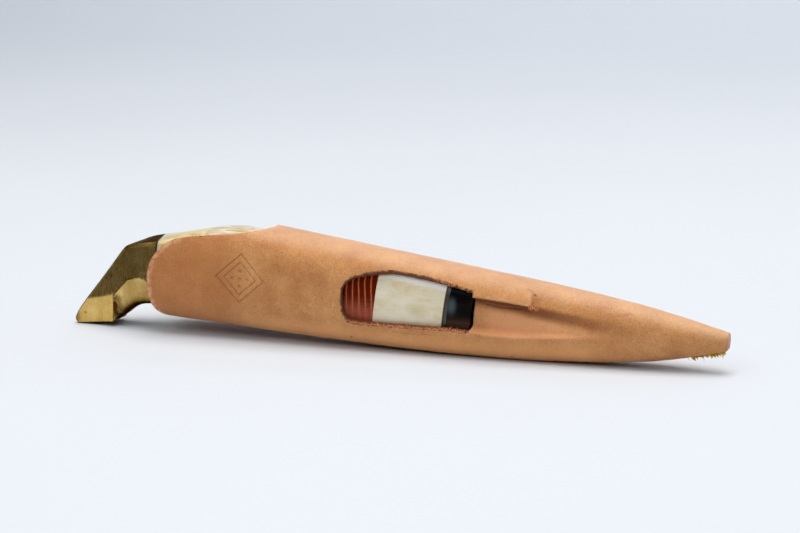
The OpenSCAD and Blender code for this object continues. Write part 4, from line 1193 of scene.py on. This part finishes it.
def blade():
    """The blade with its bevels, spine and stick tang, and the tang's end peened over in the pommel's back."""
    def ring(corners):
        """Points round five corners (x, y, z): edge, near bevel, near back, far back, far bevel."""
        out = []
        for a, b in zip(corners, corners[1:] + corners[:1]):
            out += [np.array(a) + (np.array(b) - np.array(a)) * t for t in (0, 0.04, 0.35, 0.65, 0.96)]
        return out

    rings = []
    for x in np.concatenate([[BLADE_LENGTH, BLADE_LENGTH - 0.4], np.linspace(BLADE_LENGTH - 1.2, 0, 70)]):
        h = 1.6 * min(1, 0.12 + (BLADE_LENGTH - x) / 12)
        back, low = float(curve(BLADE_BACK, x)), float(curve(BLADE_EDGE, x))
        bevel = low + min(7, 0.66 * (back - low))
        rings.append(ring([(x + LEAN * (z - 12.2) * max(0, 1 - x / 8), y, z)
                           for y, z in ((0, low), (-h, bevel), (-h, back), (h, back), (h, bevel))]))
    for x, hz in ((0.0, 3.5), (-1.0, 3.5), (-50, 3.05), (-104.0, 2.6)):
        hy, low, high = TANG_THICKNESS / 2, TANG_MIDDLE - hz, TANG_MIDDLE + hz
        rings.append(ring([(x, 0, low), (x, -hy, low + 0.02), (x, -hy, high), (x, hy, high), (x, hy, low + 0.02)]))
    points = [p for r in rings for p in r]
    faces = loft_faces(len(rings), len(rings[0])) + loft_faces(len(PEEN), PEEN_AROUND, start=len(points))
    along = (SLANT_HIGH - SLANT_LOW) / np.linalg.norm(SLANT_HIGH - SLANT_LOW)
    out = np.array([-along[1], along[0]])
    # Where the tang's line meets the slanted back
    hub = SLANT_LOW + along * ((TANG_MIDDLE - SLANT_LOW[1]) / along[1])
    stretch = 1 / abs(out[0])
    for rise, reach in PEEN:
        for a in np.linspace(0, 2 * math.pi, PEEN_AROUND, endpoint=False):
            across, up = math.cos(a) * TANG_ROD / 2 * reach, math.sin(a) * TANG_ROD / 2 * reach
            x, z = (TANG_END, TANG_MIDDLE + up) if rise is None else hub + along * up * stretch + out * rise
            points.append((x, across, z))
    sharpen(make("blade_and_tang", points, faces, steel, "knife", "blade", ["blade"]), 12)


pommel()
blade()

# ---------------------------------------------------------------- floor, light and camera
matt = Finish("pale_card", Base_Color="#d1d6dc", Roughness=0.75, Specular_IOR_Level=0.2)
shade = matt.add("TexNoise", {"Vector": matt.place, "Scale": 3.0, "Detail": 2.0})
card = matt.end(matt.tones(shade, (0.3, "#ccd1d7"), (0.7, "#cfd4da")))


def sweep():
    """The floor, curved up into a backdrop far behind the object, in metres."""
    profile = [(-3.0, 0.0), (0.9, 0.0)]
    profile += [(0.9 + math.sin(a), 1.0 - math.cos(a)) for a in np.linspace(0, math.pi / 2, 16)[1:]]
    profile += [(1.9, 3.2)]
    across = np.linspace(-3.5, 3.5, 9)
    faces = [(k * 9 + i, k * 9 + i + 1, (k + 1) * 9 + i + 1, (k + 1) * 9 + i)
             for k in range(len(profile) - 1) for i in range(8)]
    mesh = bpy.data.meshes.new("floor_and_backdrop")
    mesh.from_pydata([(x, y, z) for y, z in profile for x in across], [], faces)
    mesh.materials.append(card)
    mesh.shade_smooth()
    floor = bpy.data.objects.new("floor_and_backdrop", mesh)
    bpy.context.scene.collection.objects.link(floor)


sweep()


def soft_light(name, place, aim, size, power, colour):
    data = bpy.data.lights.new(name, "AREA")
    data.shape, data.energy, data.color = "RECTANGLE", power, paint(colour)[:3]
    data.size, data.size_y = size
    light = bpy.data.objects.new(name, data)
    light.location = place
    light.rotation_euler = (Vector(aim) - Vector(place)).to_track_quat("-Z", "Y").to_euler()
    bpy.context.scene.collection.objects.link(light)


soft_light("window_above", (0.08, 0.0, 1.22), (0, 0.01, 0), (1.1, 0.68), 12.9, "#fffaf4")
soft_light("fill_front", (-0.35, -1.15, 1.0), (0, 0, 0.02), (1.2, 0.6), 3.3, "#f8faff")
soft_light("wash_behind", (0.0, 1.5, 1.3), (0, 1.9, 0.2), (1.6, 0.5), 7.5, "#f8faff")

world = bpy.data.worlds.new("room")
bpy.context.scene.world = world
world.use_nodes = True
tree = world.node_tree
parts = add(tree, "SeparateXYZ", {0: add(tree, "TexCoord").outputs["Generated"]})
height = add(tree, "ValToRGB", {0: parts.outputs["Z"]},
             ramp=[(0.0, "#1a1306"), (0.24, "#221909"), (0.46, "#acafb3"), (0.8, "#f8faff")])
sky = tree.nodes["Background"]
tree.links.new(height.outputs[0], sky.inputs["Color"])
sky.inputs["Strength"].default_value = 0.9

lens = bpy.data.cameras.new("camera")
lens.lens, lens.sensor_width = 90, 36
lens.clip_start, lens.clip_end = 0.05, 20
camera = bpy.data.objects.new("camera", lens)
camera.location = (0.2102, -0.56994, 0.14307)
camera.rotation_euler = (math.radians(78.892), 0, math.radians(20))
bpy.context.scene.collection.objects.link(camera)
bpy.context.scene.camera = camera
bpy.context.scene.view_settings.view_transform = "Standard"
